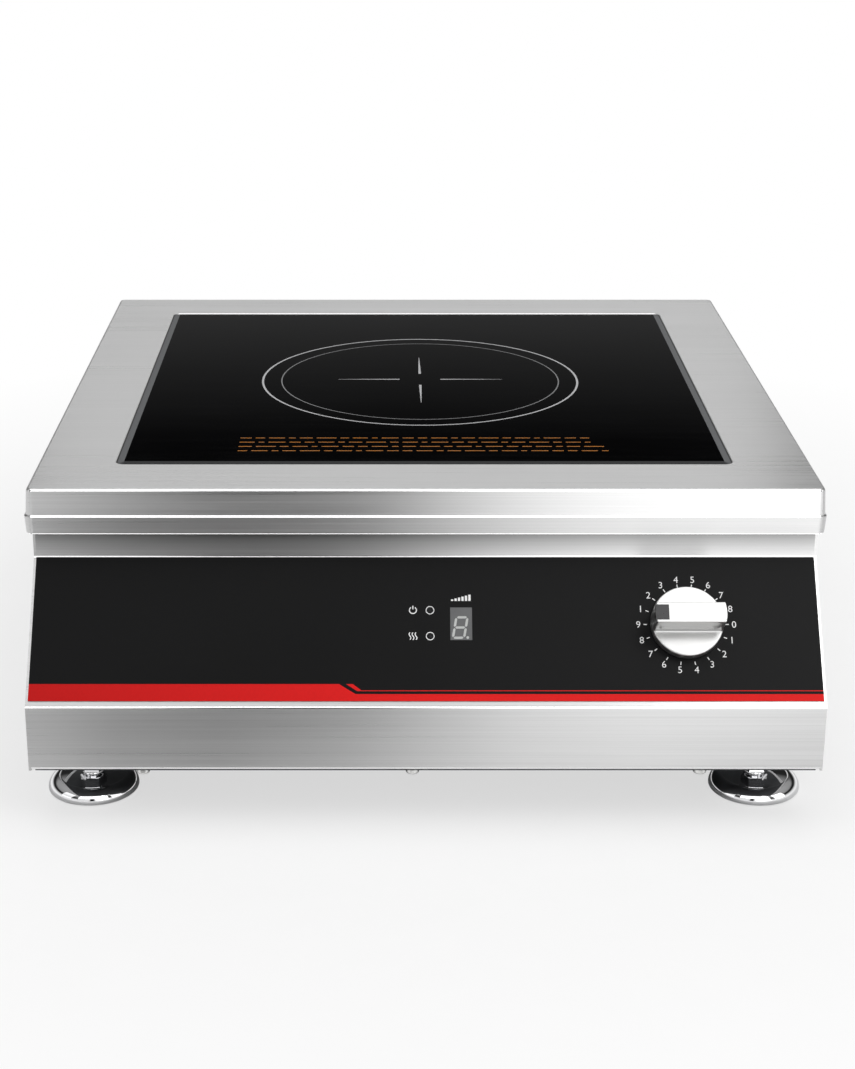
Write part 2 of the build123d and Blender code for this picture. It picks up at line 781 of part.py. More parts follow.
with BuildPart() as ferrite_bars:
    with BuildSketch(Plane((0, deck_y, carrier_under + ferrite_pocket))):
        with PolarLocations((ferrite_start + ferrite_end) / 2, ferrite_count, 180 / ferrite_count):
            Rectangle(ferrite_end - ferrite_start - hole_clear, ferrite_width - hole_clear)
    extrude(amount=-ferrite_thick)
write(ferrite_bars.part, "ferrite_bars")

with BuildPart() as temperature_sensor:
    with BuildSketch(Plane((0, deck_y, carrier_under))):
        Circle(sensor_flange_r)
    extrude(amount=-sensor_flange)
    with BuildSketch(Plane((0, deck_y, carrier_under))):
        Circle(sensor_r)
    extrude(amount=carrier_thick)
    with BuildSketch(Plane((0, deck_y, carrier_top))):
        Circle(sensor_tip_r)
    extrude(amount=glass_under - carrier_top)
write(temperature_sensor.part, "temperature_sensor")

with BuildPart() as coil_spacers:
    with BuildSketch(Plane((0, deck_y, rail_top))):
        with Locations(*spacer_points):
            Circle(spacer_r)
            Circle(coil_screw_r + hole_clear, mode=Mode.SUBTRACT)
    extrude(amount=spacer_length)
write(coil_spacers.part, "coil_spacers")

with BuildPart() as coil_screws:
    with BuildSketch(Plane((0, deck_y, carrier_top))):
        with Locations(*spacer_points):
            Circle(coil_screw_head_r)
    extrude(amount=coil_screw_head)
    with BuildSketch(Plane((0, deck_y, carrier_top))):
        with Locations(*spacer_points):
            Circle(coil_screw_r)
    extrude(amount=rail_top - coil_screw_end - carrier_top)
write(coil_screws.part, "coil_screws")

# Rails: two channels between the side panels, with a tab down each end
with BuildPart() as coil_rails:
    for rail_y in (deck_y - spacer_step, deck_y + spacer_step):
        with BuildSketch(Plane.YZ):
            with BuildLine():
                FilletPolyline(
                    (rail_y - rail_width / 2, rail_top - rail_depth),
                    (rail_y - rail_width / 2, rail_top),
                    (rail_y + rail_width / 2, rail_top),
                    (rail_y + rail_width / 2, rail_top - rail_depth),
                    radius=bend,
                )
                offset(amount=rail_sheet, side=Side.RIGHT)
            make_face()
        extrude(amount=inner_x, both=True)
        for end in (-1, 1):
            tab_origin = (end * inner_x, rail_y, rail_top - rail_sheet)
            with BuildSketch(Plane(tab_origin, (0, end, 0), (end, 0, 0))):
                with Locations((0, -rail_tab / 2)):
                    Rectangle(rail_width - 2 * bend, rail_tab)
            extrude(amount=-rail_sheet)
    with BuildSketch(Plane((0, deck_y, rail_top))):
        with Locations(*spacer_points):
            Circle(coil_screw_r + hole_clear)
    extrude(amount=-2 * rail_sheet, mode=Mode.SUBTRACT)
write(coil_rails.part, "coil_rails")

# Fan: square frame with a motor plate on struts; the rotor's spindle runs in the bearing tube
with BuildPart() as fan_frame:
    with BuildSketch(fan_plane):
        RectangleRounded(fan_size, fan_size, fan_corner)
        Circle(fan_bore_r, mode=Mode.SUBTRACT)
        with GridLocations(fan_hole_step, fan_hole_step, 2, 2):
            Circle(screw_r + hole_clear, mode=Mode.SUBTRACT)
    extrude(amount=fan_depth)
    with BuildSketch(fan_plane):
        Circle(fan_hub_r)
        Rectangle(2 * fan_bore_r + fan_wall, fan_strut)
        Rectangle(fan_strut, 2 * fan_bore_r + fan_wall)
    extrude(amount=fan_floor)
    with BuildSketch(fan_plane):
        Circle(bearing_r)
    extrude(amount=bearing_top)
    with BuildSketch(fan_plane.offset(bearing_floor)):
        Circle(spindle_r + shaft_fit)
    extrude(amount=bearing_top - bearing_floor, mode=Mode.SUBTRACT)
write(fan_frame.part, "fan_frame")

blade_root = fan_hub_r - fan_hub_wall / 2
blade_half = blade_tip_chord / 2 * cos(radians(blade_tip_pitch)) + blade_thick
blade_tip = sqrt((fan_bore_r - blade_tip_gap) ** 2 - blade_half**2)
blade_z = base_top + (fan_hub_foot + fan_hub_top) / 2

with BuildPart() as fan_rotor:
    with BuildSketch(fan_plane.offset(fan_hub_foot)):
        Circle(fan_hub_r)
    extrude(amount=fan_hub_top - fan_hub_foot)
    with BuildSketch(fan_plane.offset(fan_hub_foot)):
        Circle(fan_hub_r - fan_hub_wall)
    extrude(amount=fan_hub_top - fan_hub_foot - fan_hub_wall, mode=Mode.SUBTRACT)
    with BuildSketch(fan_plane.offset(fan_hub_top - fan_hub_wall)):
        Circle(spindle_r)
    extrude(amount=bearing_floor + shaft_fit - fan_hub_top + fan_hub_wall)
    for blade in range(blade_count):
        turn = 2 * pi * blade / blade_count
        for reach, chord, pitch in (
            (blade_root, blade_root_chord, blade_root_pitch),
            (blade_tip, blade_tip_chord, blade_tip_pitch),
        ):
            blade_plane = Plane(
                origin=(fan_x + reach * cos(turn), fan_y + reach * sin(turn), blade_z),
                x_dir=(-sin(turn), cos(turn), 0),
                z_dir=(cos(turn), sin(turn), 0),
            )
            with BuildSketch(blade_plane):
                Rectangle(chord, blade_thick, rotation=pitch)
        loft()
write(fan_rotor.part, "fan_rotor")

with BuildPart() as fan_screws:
    with BuildSketch(fan_plane.offset(fan_depth)):
        with GridLocations(fan_hole_step, fan_hole_step, 2, 2):
            Circle(screw_head_r)
    extrude(amount=screw_head)
    with BuildSketch(fan_plane.offset(fan_depth)):
        with GridLocations(fan_hole_step, fan_hole_step, 2, 2):
            Circle(screw_r)
    extrude(amount=-fan_depth - sheet)
write(fan_screws.part, "fan_screws")

# Power board on its standoffs, left of the middle
board_x = board_width / 2 + board_side_gap - inner_x
board_y = deck_y - board_front + board_length / 2
board_under = base_top + standoff_height
board_top = board_under + board_thick
post_step_x = board_width - 2 * standoff_inset
post_step_y = board_length - 2 * standoff_inset

with BuildPart() as power_board:
    with BuildSketch(Plane((board_x, board_y, board_under))):
        Rectangle(board_width, board_length)
        with GridLocations(post_step_x, post_step_y / 2, 2, 3):
            Circle(standoff_pin_r + hole_clear, mode=Mode.SUBTRACT)
    extrude(amount=board_thick)
write(power_board.part, "power_board")

with BuildPart() as board_standoffs:
    with BuildSketch(Plane((board_x, board_y, base_top))):
        with GridLocations(post_step_x, post_step_y / 2, 2, 3):
            Circle(standoff_r)
    extrude(amount=standoff_height)
    with BuildSketch(Plane((board_x, board_y, board_under))):
        with GridLocations(post_step_x, post_step_y / 2, 2, 3):
            Circle(standoff_pin_r)
    extrude(amount=standoff_pin)
write(board_standoffs.part, "board_standoffs")

# Heat sink on legs, with the power devices clamped between it and the board
sink_x = board_x + board_width / 2 - standoff_inset - standoff_r - sink_width / 2
sink_y = board_y - board_length / 2 + 2 * ribbon_inset + sink_length / 2 + standoff_inset
sink_under = board_top + chip_thick
leg_step_x = sink_width - 4 * sink_leg_r
leg_step_y = sink_length - 4 * sink_leg_r

with BuildPart() as heatsink:
    with BuildSketch(Plane((sink_x, sink_y, sink_under))):
        Rectangle(sink_width, sink_length)
    extrude(amount=sink_base)
    with BuildSketch(Plane((sink_x, sink_y, sink_under + sink_base))):
        with GridLocations((sink_width - sink_fin) / (sink_fins - 1), 0, sink_fins, 1):
            Rectangle(sink_fin, sink_length)
    extrude(amount=sink_fin_height)
    with BuildSketch(Plane((sink_x, sink_y, board_top))):
        with GridLocations(leg_step_x, leg_step_y, 2, 2):
            Circle(sink_leg_r)
    extrude(amount=chip_thick)
write(heatsink.part, "heatsink")

with BuildPart() as igbt_pair:
    with BuildSketch(Plane((sink_x, sink_y + chip_length, board_top))):
        with GridLocations(chip_spacing, 0, 2, 1):
            Rectangle(chip_width, chip_length)
    extrude(amount=chip_thick)
write(igbt_pair.part, "igbt_pair")

with BuildPart() as bridge_rectifier:
    with BuildSketch(Plane((sink_x, sink_y - bridge_length, board_top))):
        Rectangle(bridge_width, bridge_length)
    extrude(amount=chip_thick)
write(bridge_rectifier.part, "bridge_rectifier")

cap_x = board_x - board_width / 2 + standoff_inset + standoff_r + cap_width

with BuildPart() as film_capacitors:
    with BuildSketch(Plane((cap_x, sink_y, board_top))):
        with GridLocations(0, cap_spacing, 1, 2):
            Rectangle(cap_width, cap_length)
    extrude(amount=cap_height)
    fillet(film_capacitors.edges().filter_by(Axis.Z), cap_round)
write(film_capacitors.part, "film_capacitors")

choke_y = board_y + board_length / 2 - 2 * choke_r - standoff_inset

with BuildPart() as filter_choke:
    with BuildSketch(Plane((cap_x, choke_y, board_top + choke_core_r), (1, 0, 0), (0, -1, 0))):
        with Locations((choke_r, 0)):
            Circle(choke_core_r)
    revolve(axis=Axis((cap_x, choke_y, 0), (0, 0, 1)))
write(filter_choke.part, "filter_choke")

# Mains terminal block on the base, ahead of the cord bushing
block_x = cord_x + block_width / 2
block_y = (board_y + board_length / 2 + rear_y) / 2
pole_xs = [block_x + block_pitch * pole for pole in (-1, 0, 1)]

with BuildPart() as terminal_block:
    with BuildSketch(Plane((block_x, block_y, base_top))):
        Rectangle(block_width, block_length)
    extrude(amount=block_height)
    with BuildSketch(Plane((block_x, block_y, base_top + block_height))):
        with GridLocations(block_pitch, 0, 3, 1):
            Circle(block_hole_r)
    extrude(amount=-block_hole_depth, mode=Mode.SUBTRACT)
write(terminal_block.part, "terminal_block")

# Leads: round wires of straight runs and tangent bends
mains_start_y = block_y - block_length / 2
mains_end_y = board_y + board_length / 2 - standoff_inset
mains_z = base_top + block_height * 3 / 4

with BuildPart() as mains_leads:
    for pole_x in pole_xs[:2]:
        with BuildLine() as mains_path:
            FilletPolyline(
                (pole_x, mains_start_y, mains_z),
                (pole_x, mains_end_y, mains_z),
                (pole_x, mains_end_y, board_top),
                radius=lead_bend,
            )
        with BuildSketch(Plane(mains_path.wire() @ 0, z_dir=mains_path.wire() % 0)):
            Circle(mains_lead_r)
        sweep(path=mains_path.wire())
write(mains_leads.part, "mains_leads")

lead_far = carrier_r + lead_out
outer_start = Vector(-coil_end, deck_y - coil_tail, coil_z)
outer_bend = Vector(-coil_end, deck_y - coil_tail - lead_out, coil_z)
outer_edge = Vector(-lead_far, deck_y - 2 * lead_out, coil_z)
outer_foot = Vector(-lead_far, deck_y - 2 * lead_out, board_top)
inner_start = Vector(-tail_x, deck_y - tail_y, coil_z)
inner_edge = Vector(-lead_inner_x, deck_y - lead_inner_y, coil_z)
inner_foot = Vector(-lead_inner_x, deck_y - lead_inner_y, board_top)

with BuildPart() as coil_leads:
    with BuildLine() as outer_path:
        FilletPolyline(outer_start, outer_bend, outer_edge, outer_foot, radius=lead_bend)
    with BuildSketch(Plane(outer_path.wire() @ 0, z_dir=outer_path.wire() % 0)):
        Circle(wire_r)
    sweep(path=outer_path.wire())
    with BuildLine() as inner_path:
        FilletPolyline(inner_start, inner_edge, inner_foot, radius=inner_lead_bend)
    with BuildSketch(Plane(inner_path.wire() @ 0, z_dir=inner_path.wire() % 0)):
        Circle(wire_r)
    sweep(path=inner_path.wire())
write(coil_leads.part, "coil_leads")

# Control board behind the sloped panel, with the display and the two lamps on it
control_face = -display_depth
ribbon_x = board_x + board_width / 2 - standoff_inset - standoff_r - ribbon_width / 2
control_board_left = ribbon_x - ribbon_width / 2 - ribbon_margin
control_board_width = control_board_right - control_board_left
control_board_u = (control_board_left + control_board_right) / 2
control_points_x = control_board_width - 2 * control_post_inset
control_points_y = control_board_height - 2 * control_post_inset

with BuildPart() as digit_display:
    with BuildSketch(panel_plane.offset(control_face)):
        with Locations((display_u, display_v)):
            Rectangle(display_width, display_height)
    extrude(amount=display_depth)
write(digit_display.part, "digit_display")

with BuildPart() as indicator_leds:
    with BuildSketch(panel_plane.offset(control_face)):
        with Locations(*led_points):
            Circle(led_flange_r)
    extrude(amount=led_flange)
    with BuildSketch(panel_plane.offset(control_face)):
        with Locations(*led_points):
            Circle(led_r)
    extrude(amount=display_depth + overlay_thick + led_proud)
    fillet(indicator_leds.faces().sort_by(dial_axis)[-1].edges(), led_round)
write(indicator_leds.part, "indicator_leds")

with BuildPart() as control_board:
    with BuildSketch(panel_plane.offset(control_face)):
        with Locations((control_board_u, control_board_v)):
            Rectangle(control_board_width, control_board_height)
    extrude(amount=-board_thick)
write(control_board.part, "control_board")

with BuildPart() as control_standoffs:
    with BuildSketch(panel_plane.offset(control_face)):
        with Locations((control_board_u, control_board_v)):
            with GridLocations(control_points_x, control_points_y, 2, 2):
                Circle(control_post_r)
    extrude(amount=display_depth - sheet)
write(control_standoffs.part, "control_standoffs")

ribbon_start = panel_plane.from_local_coords((control_board_u, ribbon_v, control_face - board_thick))
ribbon_z = (ribbon_start.Z + board_top) / 2
ribbon_turn_y = ribbon_start.Y + (ribbon_start.Z - ribbon_z) / tan(radians(panel_angle))
ribbon_end_y = board_y - board_length / 2 + ribbon_inset

with BuildPart() as control_ribbon:
    with BuildSketch(Plane.YZ.offset(ribbon_x)):
        with BuildLine():
            FilletPolyline(
                (ribbon_start.Y, ribbon_start.Z),
                (ribbon_turn_y, ribbon_z),
                (ribbon_end_y, ribbon_z),
                (ribbon_end_y, board_top),
                radius=ribbon_bend,
            )
            offset(amount=ribbon_thick, side=Side.LEFT)
        make_face()
    extrude(amount=ribbon_width / 2, both=True)
write(control_ribbon.part, "control_ribbon")

# Rotary switch behind the panel; its shaft turns in the threaded bushing
with BuildPart() as rotary_switch:
    with BuildSketch(dial_plane.offset(-sheet)):
        Rectangle(switch_width, switch_width)
    extrude(amount=-switch_depth)
    with BuildSketch(dial_plane.offset(-sheet)):
        Circle(bushing_thread_r)
    extrude(amount=sheet + bushing_thread_top)
    with BuildSketch(dial_plane.offset(bushing_thread_top)):
        Circle(shaft_r + shaft_fit)
    extrude(amount=sheet - bushing_thread_top - switch_depth, mode=Mode.SUBTRACT)
write(rotary_switch.part, "rotary_switch")

with BuildPart() as switch_nut:
    with BuildSketch(dial_plane):
        RegularPolygon(hexagon_r(switch_nut_flats), 6)
        Circle(bushing_thread_r, mode=Mode.SUBTRACT)
    extrude(amount=switch_nut_height)
write(switch_nut.part, "switch_nut")

shaft_foot = shaft_end_gap - switch_depth + sheet

with BuildPart() as switch_shaft:
    with BuildSketch(dial_plane.offset(shaft_foot)):
        Circle(shaft_r)
    extrude(amount=shaft_top - shaft_foot)
    with BuildSketch(dial_plane.offset(shaft_flat_start)):
        with Locations((0, shaft_flat + shaft_r)):
            Rectangle(2 * shaft_r, 2 * shaft_r)
    extrude(amount=shaft_top - shaft_flat_start, mode=Mode.SUBTRACT)
write(switch_shaft.part, "switch_shaft")

# Knob: a hollow disc with a grip bar across it, scooped for the fingers
knob_foot = overlay_thick + knob_gap
slope_up = panel_plane.y_dir
grip_r = knob_r - grip_inset
scoop_low = knob_disc + knob_cove + scoop_margin
scoop_high = knob_top - scoop_margin

with BuildPart() as knob_grip:
    with BuildSketch(dial_plane.offset(knob_foot)):
        Circle(grip_r)
        Rectangle(2 * grip_r, knob_bar, mode=Mode.INTERSECT)
    extrude(amount=knob_top - knob_foot)
    fillet(knob_grip.edges().filter_by(dial_axis), knob_round)
    fillet(knob_grip.faces().sort_by(dial_axis)[-1].edges(), knob_bar_round)
    for side in (-1, 1):
        scoop_plane = Plane(
            origin=dial_plane.from_local_coords((0, side * (knob_bar / 2 - scoop_depth), 0)),
            x_dir=(1, 0, 0),
            z_dir=slope_up * side,
        )
        with BuildSketch(scoop_plane):
            with Locations((0, -side * (scoop_low + scoop_high) / 2)):
                RectangleRounded(scoop_length, scoop_high - scoop_low, scoop_round)
        extrude(amount=2 * scoop_depth, mode=Mode.SUBTRACT)

with BuildPart() as knob:
    with BuildSketch(dial_plane.offset(knob_foot)):
        Circle(knob_r)
    extrude(amount=knob_disc - knob_foot)
    fillet(knob.faces().sort_by(dial_axis)[-1].edges(), knob_round)
    add(knob_grip.part)
    fillet(knob.edges().filter_by(Axis.X).group_by(dial_axis)[0], knob_cove)
    with BuildSketch(dial_plane.offset(knob_foot)):
        Circle(knob_r - knob_wall)
    extrude(amount=knob_ceiling - knob_foot, mode=Mode.SUBTRACT)
    with BuildSketch(dial_plane.offset(knob_ceiling)):
        Circle(shaft_r + knob_fit)
        with Locations((0, shaft_flat + knob_fit + shaft_r)):
            Rectangle(3 * shaft_r, 2 * shaft_r, mode=Mode.SUBTRACT)
    extrude(amount=shaft_top + knob_fit - knob_ceiling, mode=Mode.SUBTRACT)
    with BuildSketch(dial_plane.offset(knob_top - inlay_depth)):
        Circle(knob_r)
        with Locations((inlay_length / 2 - knob_r, 0)):
            Rectangle(inlay_length, inlay_width, mode=Mode.INTERSECT)
    extrude(amount=inlay_depth, mode=Mode.SUBTRACT)
write(knob.part, "knob")

with BuildPart() as knob_inlay:
    with BuildSketch(dial_plane.offset(knob_top - inlay_depth)):
        Circle(grip_r)
        with Locations((inlay_length / 2 - knob_r, 0)):
            Rectangle(inlay_length, inlay_width, mode=Mode.INTERSECT)
    extrude(amount=inlay_depth - inlay_dip)
write(knob_inlay.part, "knob_inlay")
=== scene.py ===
import math

import bmesh
import bpy
from mathutils import Matrix, Vector


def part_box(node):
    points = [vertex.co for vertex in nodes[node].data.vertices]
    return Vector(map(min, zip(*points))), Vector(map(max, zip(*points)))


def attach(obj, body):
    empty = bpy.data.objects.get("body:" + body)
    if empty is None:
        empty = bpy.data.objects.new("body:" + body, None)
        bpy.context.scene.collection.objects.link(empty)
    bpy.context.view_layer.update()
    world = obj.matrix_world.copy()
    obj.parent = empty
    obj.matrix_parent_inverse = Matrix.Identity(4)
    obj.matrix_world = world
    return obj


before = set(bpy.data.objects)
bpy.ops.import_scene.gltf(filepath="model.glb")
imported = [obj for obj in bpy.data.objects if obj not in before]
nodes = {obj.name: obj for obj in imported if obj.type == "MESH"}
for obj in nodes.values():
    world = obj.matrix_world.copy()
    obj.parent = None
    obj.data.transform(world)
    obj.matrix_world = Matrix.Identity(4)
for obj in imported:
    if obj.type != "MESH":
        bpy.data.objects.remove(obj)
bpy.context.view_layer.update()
MM = 0.001

# The sloped panel: across, up the slope, and out of its steel face, in millimetres.
# The overlay's face stands out of the steel, and its lower edge lies up the slope from the panel's foot.
SLOPE = math.radians(40.0)
PANEL_UP = Vector((0.0, math.sin(SLOPE), math.cos(SLOPE)))
PANEL_OUT = Vector((0.0, -math.cos(SLOPE), math.sin(SLOPE)))
OVERLAY_FACE, OVERLAY_LOW = 0.5, 3.3
film_low, film_high = (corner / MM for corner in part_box("control_overlay"))
OVERLAY_HALF = film_high.x
film_edge = Vector((0.0, film_low.y - PANEL_OUT.y * OVERLAY_FACE, film_low.z))
PANEL_FOOT = film_edge - PANEL_UP * OVERLAY_LOW

# The glass: its middle and the height of its face, in millimetres
glass_low, glass_high = (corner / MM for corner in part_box("glass_top"))
DECK_MIDDLE = Vector((0.0, (glass_low.y + glass_high.y) / 2, 0.0))
GLASS_FACE = glass_high.z


def on_panel(u, v, w):
    return (PANEL_FOOT + Vector((u, 0, 0)) + PANEL_UP * v + PANEL_OUT * w) * MM


def on_glass(x, y, w):
    return (DECK_MIDDLE + Vector((x, y, GLASS_FACE + w))) * MM


def add_object(name, data):
    made = bpy.data.objects.new(name, data)
    bpy.context.scene.collection.objects.link(made)
    return made


# Materials, with lengths in metres
FINE_SHARE = 0.45
STREAK_LOW, STREAK_HIGH = 0.35, 0.65
LINE_DEPTH, FINE_DEPTH, SCRATCH_STRENGTH = 0.000012, 0.000008, 0.5
FOLD_ROUGHNESS = 0.14
# The folds' lighter colour is a painted highlight
FOLD_HIGHLIGHT_COLOUR = (0.9, 0.9, 0.9)
FLAT_HEIGHT = 0.5
# Painted shadow under the rim: its depth and how dark it gets
PAINTED_SHADOW_DEPTH, PAINTED_SHADOW_STRENGTH = 0.0135, 0.68
HEM_WIDTH, HEM_BULGE, HEM_SHARP = 0.0004, 0.00018, 0.8
PLATED_GRAIN = 900.0
INK_GRAIN, INK_FADE, INK_GLOSS = 700.0, 0.92, 0.08
# DARK_RED is what the red print darkens towards: painted shade at the left end, and thin ink at random
RED, DARK_RED = (0.75, 0.012, 0.012), (0.05, 0.002, 0.002)
BLACK = (0.0, 0.0, 0.0)
GLASS_BLACK, GROUND_GLASS = (0.001, 0.001, 0.0012), (0.12, 0.123, 0.127)
GROUND_ROUGHNESS = 0.38


class Finish:
    """A node material round one Principled shader."""

    def __init__(self, name, colour, roughness, **sockets):
        self.material = bpy.data.materials.new(name)
        self.material.use_nodes = True
        self.tree = self.material.node_tree
        self.shader = self.tree.nodes["Principled BSDF"]
        self.set("Base Color", (*colour, 1.0))
        self.set("Roughness", roughness)
        for socket, value in sockets.items():
            self.set(socket.replace("_", " "), value)
        self.colour = colour
        self.place = self.node("ShaderNodeTexCoord").outputs["Object"]
        self.height = None

    def set(self, socket, value):
        self.shader.inputs[socket].default_value = value

    def node(self, kind, **settings):
        made = self.tree.nodes.new(kind)
        for key, value in settings.items():
            setattr(made, key, value)
        return made

    def link(self, start, end):
        self.tree.links.new(start, end)

    def feed(self, value, socket):
        """Sets a socket to a colour or a number, or links it to what gives its value."""
        if isinstance(value, tuple):
            socket.default_value = (*value, 1.0)
        elif isinstance(value, (int, float)):
            socket.default_value = value
        else:
            self.link(value, socket)

    def along(self, axis):
        """The place along one axis."""
        split = self.node("ShaderNodeSeparateXYZ")
        self.link(self.place, split.inputs[0])
        return split.outputs[axis]

    def normal_part(self, axis):
        """How far the face's true normal points along an axis, with no sign."""
        split = self.node("ShaderNodeSeparateXYZ")
        self.link(self.node("ShaderNodeNewGeometry").outputs["True Normal"], split.inputs[0])
        return self.math("ABSOLUTE", split.outputs[axis], 0.0)

    def noise(self, stretch, detail=3.0, rough=0.55):
        """Noise whose grains are 1/stretch metres long each way."""
        mapping = self.node("ShaderNodeMapping")
        mapping.inputs["Scale"].default_value = stretch
        self.link(self.place, mapping.inputs["Vector"])
        noise = self.node("ShaderNodeTexNoise")
        noise.inputs["Scale"].default_value = 1.0
        noise.inputs["Detail"].default_value = detail
        noise.inputs["Roughness"].default_value = rough
        self.link(mapping.outputs["Vector"], noise.inputs["Vector"])
        return noise.outputs[0]

    def grains(self, scale, detail=3.0):
        """Noise that is the same each way."""
        return self.noise((scale, scale, scale), detail)

    def spread(self, source, low, high, start=0.3, end=0.7):
        """The source's range from start to end, as numbers from low to high."""
        ranged = self.node("ShaderNodeMapRange")
        for socket, value in zip(("From Min", "From Max", "To Min", "To Max"), (start, end, low, high)):
            ranged.inputs[socket].default_value = value
        self.link(source, ranged.inputs["Value"])
        return ranged.outputs["Result"]

    def share(self, source, start=0.3, end=0.7):
        """0 up to the start of the source's range, 1 from its end."""
        return self.spread(source, 0.0, 1.0, start, end)

    def math(self, operation, a, b):
        made = self.node("ShaderNodeMath", operation=operation)
        for value, socket in zip((a, b), made.inputs):
            self.feed(value, socket)
        return made.outputs[0]

    def product(self, first, *others):
        for other in others:
            first = self.math("MULTIPLY", first, other)
        return first

    def mix(self, factor, a, b):
        """A number between a and b."""
        made = self.node("ShaderNodeMix", data_type="FLOAT")
        for value, socket in zip((factor, a, b), (made.inputs[0], made.inputs[2], made.inputs[3])):
            self.feed(value, socket)
        return made.outputs[0]

    def blend(self, factor, a, b):
        """A colour between a and b; either may be a plain colour."""
        made = self.node("ShaderNodeMix", data_type="RGBA")
        for value, socket in zip((factor, a, b), (made.inputs[0], made.inputs[6], made.inputs[7])):
            self.feed(value, socket)
        return made.outputs[2]

    def paint(self, source):
        self.link(source, self.shader.inputs["Base Color"])

    def tint(self, factor, dark, light):
        """Colours the surface between shares of its own colour."""
        a = tuple(c * dark for c in self.colour)
        b = tuple(min(1.0, c * light) for c in self.colour)
        out = self.blend(factor, a, b)
        self.paint(out)
        return out

    def rough(self, source):
        self.link(source, self.shader.inputs["Roughness"])

    def bump(self, source, distance, strength=1.0):
        made = self.node("ShaderNodeBump")
        made.inputs["Distance"].default_value = distance
        made.inputs["Strength"].default_value = strength
        self.link(source, made.inputs["Height"])
        if self.height is not None:
            self.link(self.height, made.inputs["Normal"])
        self.height = made.outputs["Normal"]
        self.link(self.height, self.shader.inputs["Normal"])

    def surface(self, shader_output):
        """Puts another shader on the surface in place of the Principled one."""
        self.link(shader_output, self.tree.nodes["Material Output"].inputs["Surface"])


def scratches(f, sideways, along, across, *look):
    """Noise drawn out along the brushing, which runs front to back on the side faces."""
    return f.mix(sideways, f.noise((along, across, across), *look), f.noise((across, along, across), *look))


def fold_mask(f):
    """1 on the rounded folds that run from left to right, 0 on flat faces and at the corners."""
    rise = f.normal_part(2)
    off_upright = f.share(rise, 0.1, 0.16)
    off_level = f.share(f.normal_part(1), 0.2, 0.3)
    from_panel = f.math("ABSOLUTE", f.math("SUBTRACT", rise, math.sin(SLOPE)), 0.0)
    off_panel = f.share(from_panel, 0.01, 0.03)
    off_side = f.spread(f.normal_part(0), 1.0, 0.0, 0.2, 0.4)
    return f.product(off_upright, off_level, off_panel, off_side)


def brushed(name, colour, roughness, painted_shadow_top=None, hem=None):
    """Sheet metal brushed left to right, or front to back on the side faces, polished along its folds, with
    a painted highlight there.

    The painted-shadow height is where a painted shadow under the overhanging rim is darkest; the metal
    darkens towards it over a set depth.
    A hem is the height of a lower edge that bulges out and is smoother, with a lighter colour there as a
    painted highlight.
    """
    f = Finish(name, colour, roughness, Metallic=1.0, Anisotropic=0.9, Anisotropic_Rotation=0.25)
    sideways = f.share(f.normal_part(0), 0.6, 0.8)
    fine = scratches(f, sideways, 7, 2400, 2.0)
    lines = scratches(f, sideways, 3, 900, 3.0, 0.7)
    cloud = f.noise((4, 12, 12), 2.0)
    streak = f.math("ADD", f.product(fine, FINE_SHARE), f.product(lines, 1.0 - FINE_SHARE))
    gloss = f.spread(streak, roughness - 0.03, roughness + 0.04, STREAK_LOW, STREAK_HIGH)
    grain = f.math("ADD", gloss, f.spread(cloud, -0.02, 0.02))
    fold = fold_mask(f)
    if hem:
        # The hem gets the folds' smoother finish and their lighter colour, a painted highlight
        hem_highlight = f.spread(f.along(2), 1.0, 0.0, hem + HEM_SHARP * HEM_WIDTH, hem + HEM_WIDTH)
        fold = f.math("MAXIMUM", fold, hem_highlight)
    f.rough(f.mix(fold, grain, FOLD_ROUGHNESS))
    # Painted highlight: the folds and the hem take the lighter fold colour
    metal = f.blend(fold, f.tint(f.share(streak, STREAK_LOW, STREAK_HIGH), 0.94, 1.06), FOLD_HIGHLIGHT_COLOUR)
    if painted_shadow_top:
        # Painted shadow under the overhanging rim: the metal darkens towards the given height
        shade = f.spread(f.along(2), 0.0, PAINTED_SHADOW_STRENGTH, painted_shadow_top - PAINTED_SHADOW_DEPTH, painted_shadow_top)
        metal = f.blend(shade, metal, BLACK)
    f.paint(metal)
    f.bump(f.mix(fold, lines, FLAT_HEIGHT), LINE_DEPTH, SCRATCH_STRENGTH)
    f.bump(f.mix(fold, fine, FLAT_HEIGHT), FINE_DEPTH, SCRATCH_STRENGTH)
    if hem:
        f.bump(f.spread(f.along(2), 1.0, 0.0, hem, hem + HEM_WIDTH), HEM_BULGE)
    brushing = f.node("ShaderNodeCombineXYZ")
    f.link(f.math("SUBTRACT", 1.0, sideways), brushing.inputs[0])
    f.link(sideways, brushing.inputs[1])
    f.link(brushing.outputs[0], f.shader.inputs["Tangent"])
    return f.material


def plated(name, colour, roughness, wear=0.3):
    """Bright plated metal with faint wear in its gloss."""
    f = Finish(name, colour, roughness, Metallic=1.0)
    cloud = f.grains(60.0, 4.0)
    speck = f.grains(PLATED_GRAIN, 2.0)
    f.tint(f.share(cloud), 1.0 - 0.2 * wear, 1.0 + 0.1 * wear)
    f.rough(f.spread(cloud, roughness * (1.0 - wear), roughness * (1.0 + wear)))
    f.bump(speck, 0.000004, 0.4 * wear)
    return f.material


def moulded(name, colour, roughness, grain=1400.0, depth=0.00002, **sockets):
    """Moulded plastic or rubber: a fine matt grain with slight shading."""
    f = Finish(name, colour, roughness, **sockets)
    skin = f.grains(grain)
    cloud = f.grains(25.0)
    f.tint(f.share(cloud), 0.86, 1.12)
    f.rough(f.math("ADD", f.spread(cloud, roughness - 0.05, roughness + 0.05), f.spread(skin, -0.03, 0.03)))
    f.bump(skin, depth, 0.6)
    return f.material


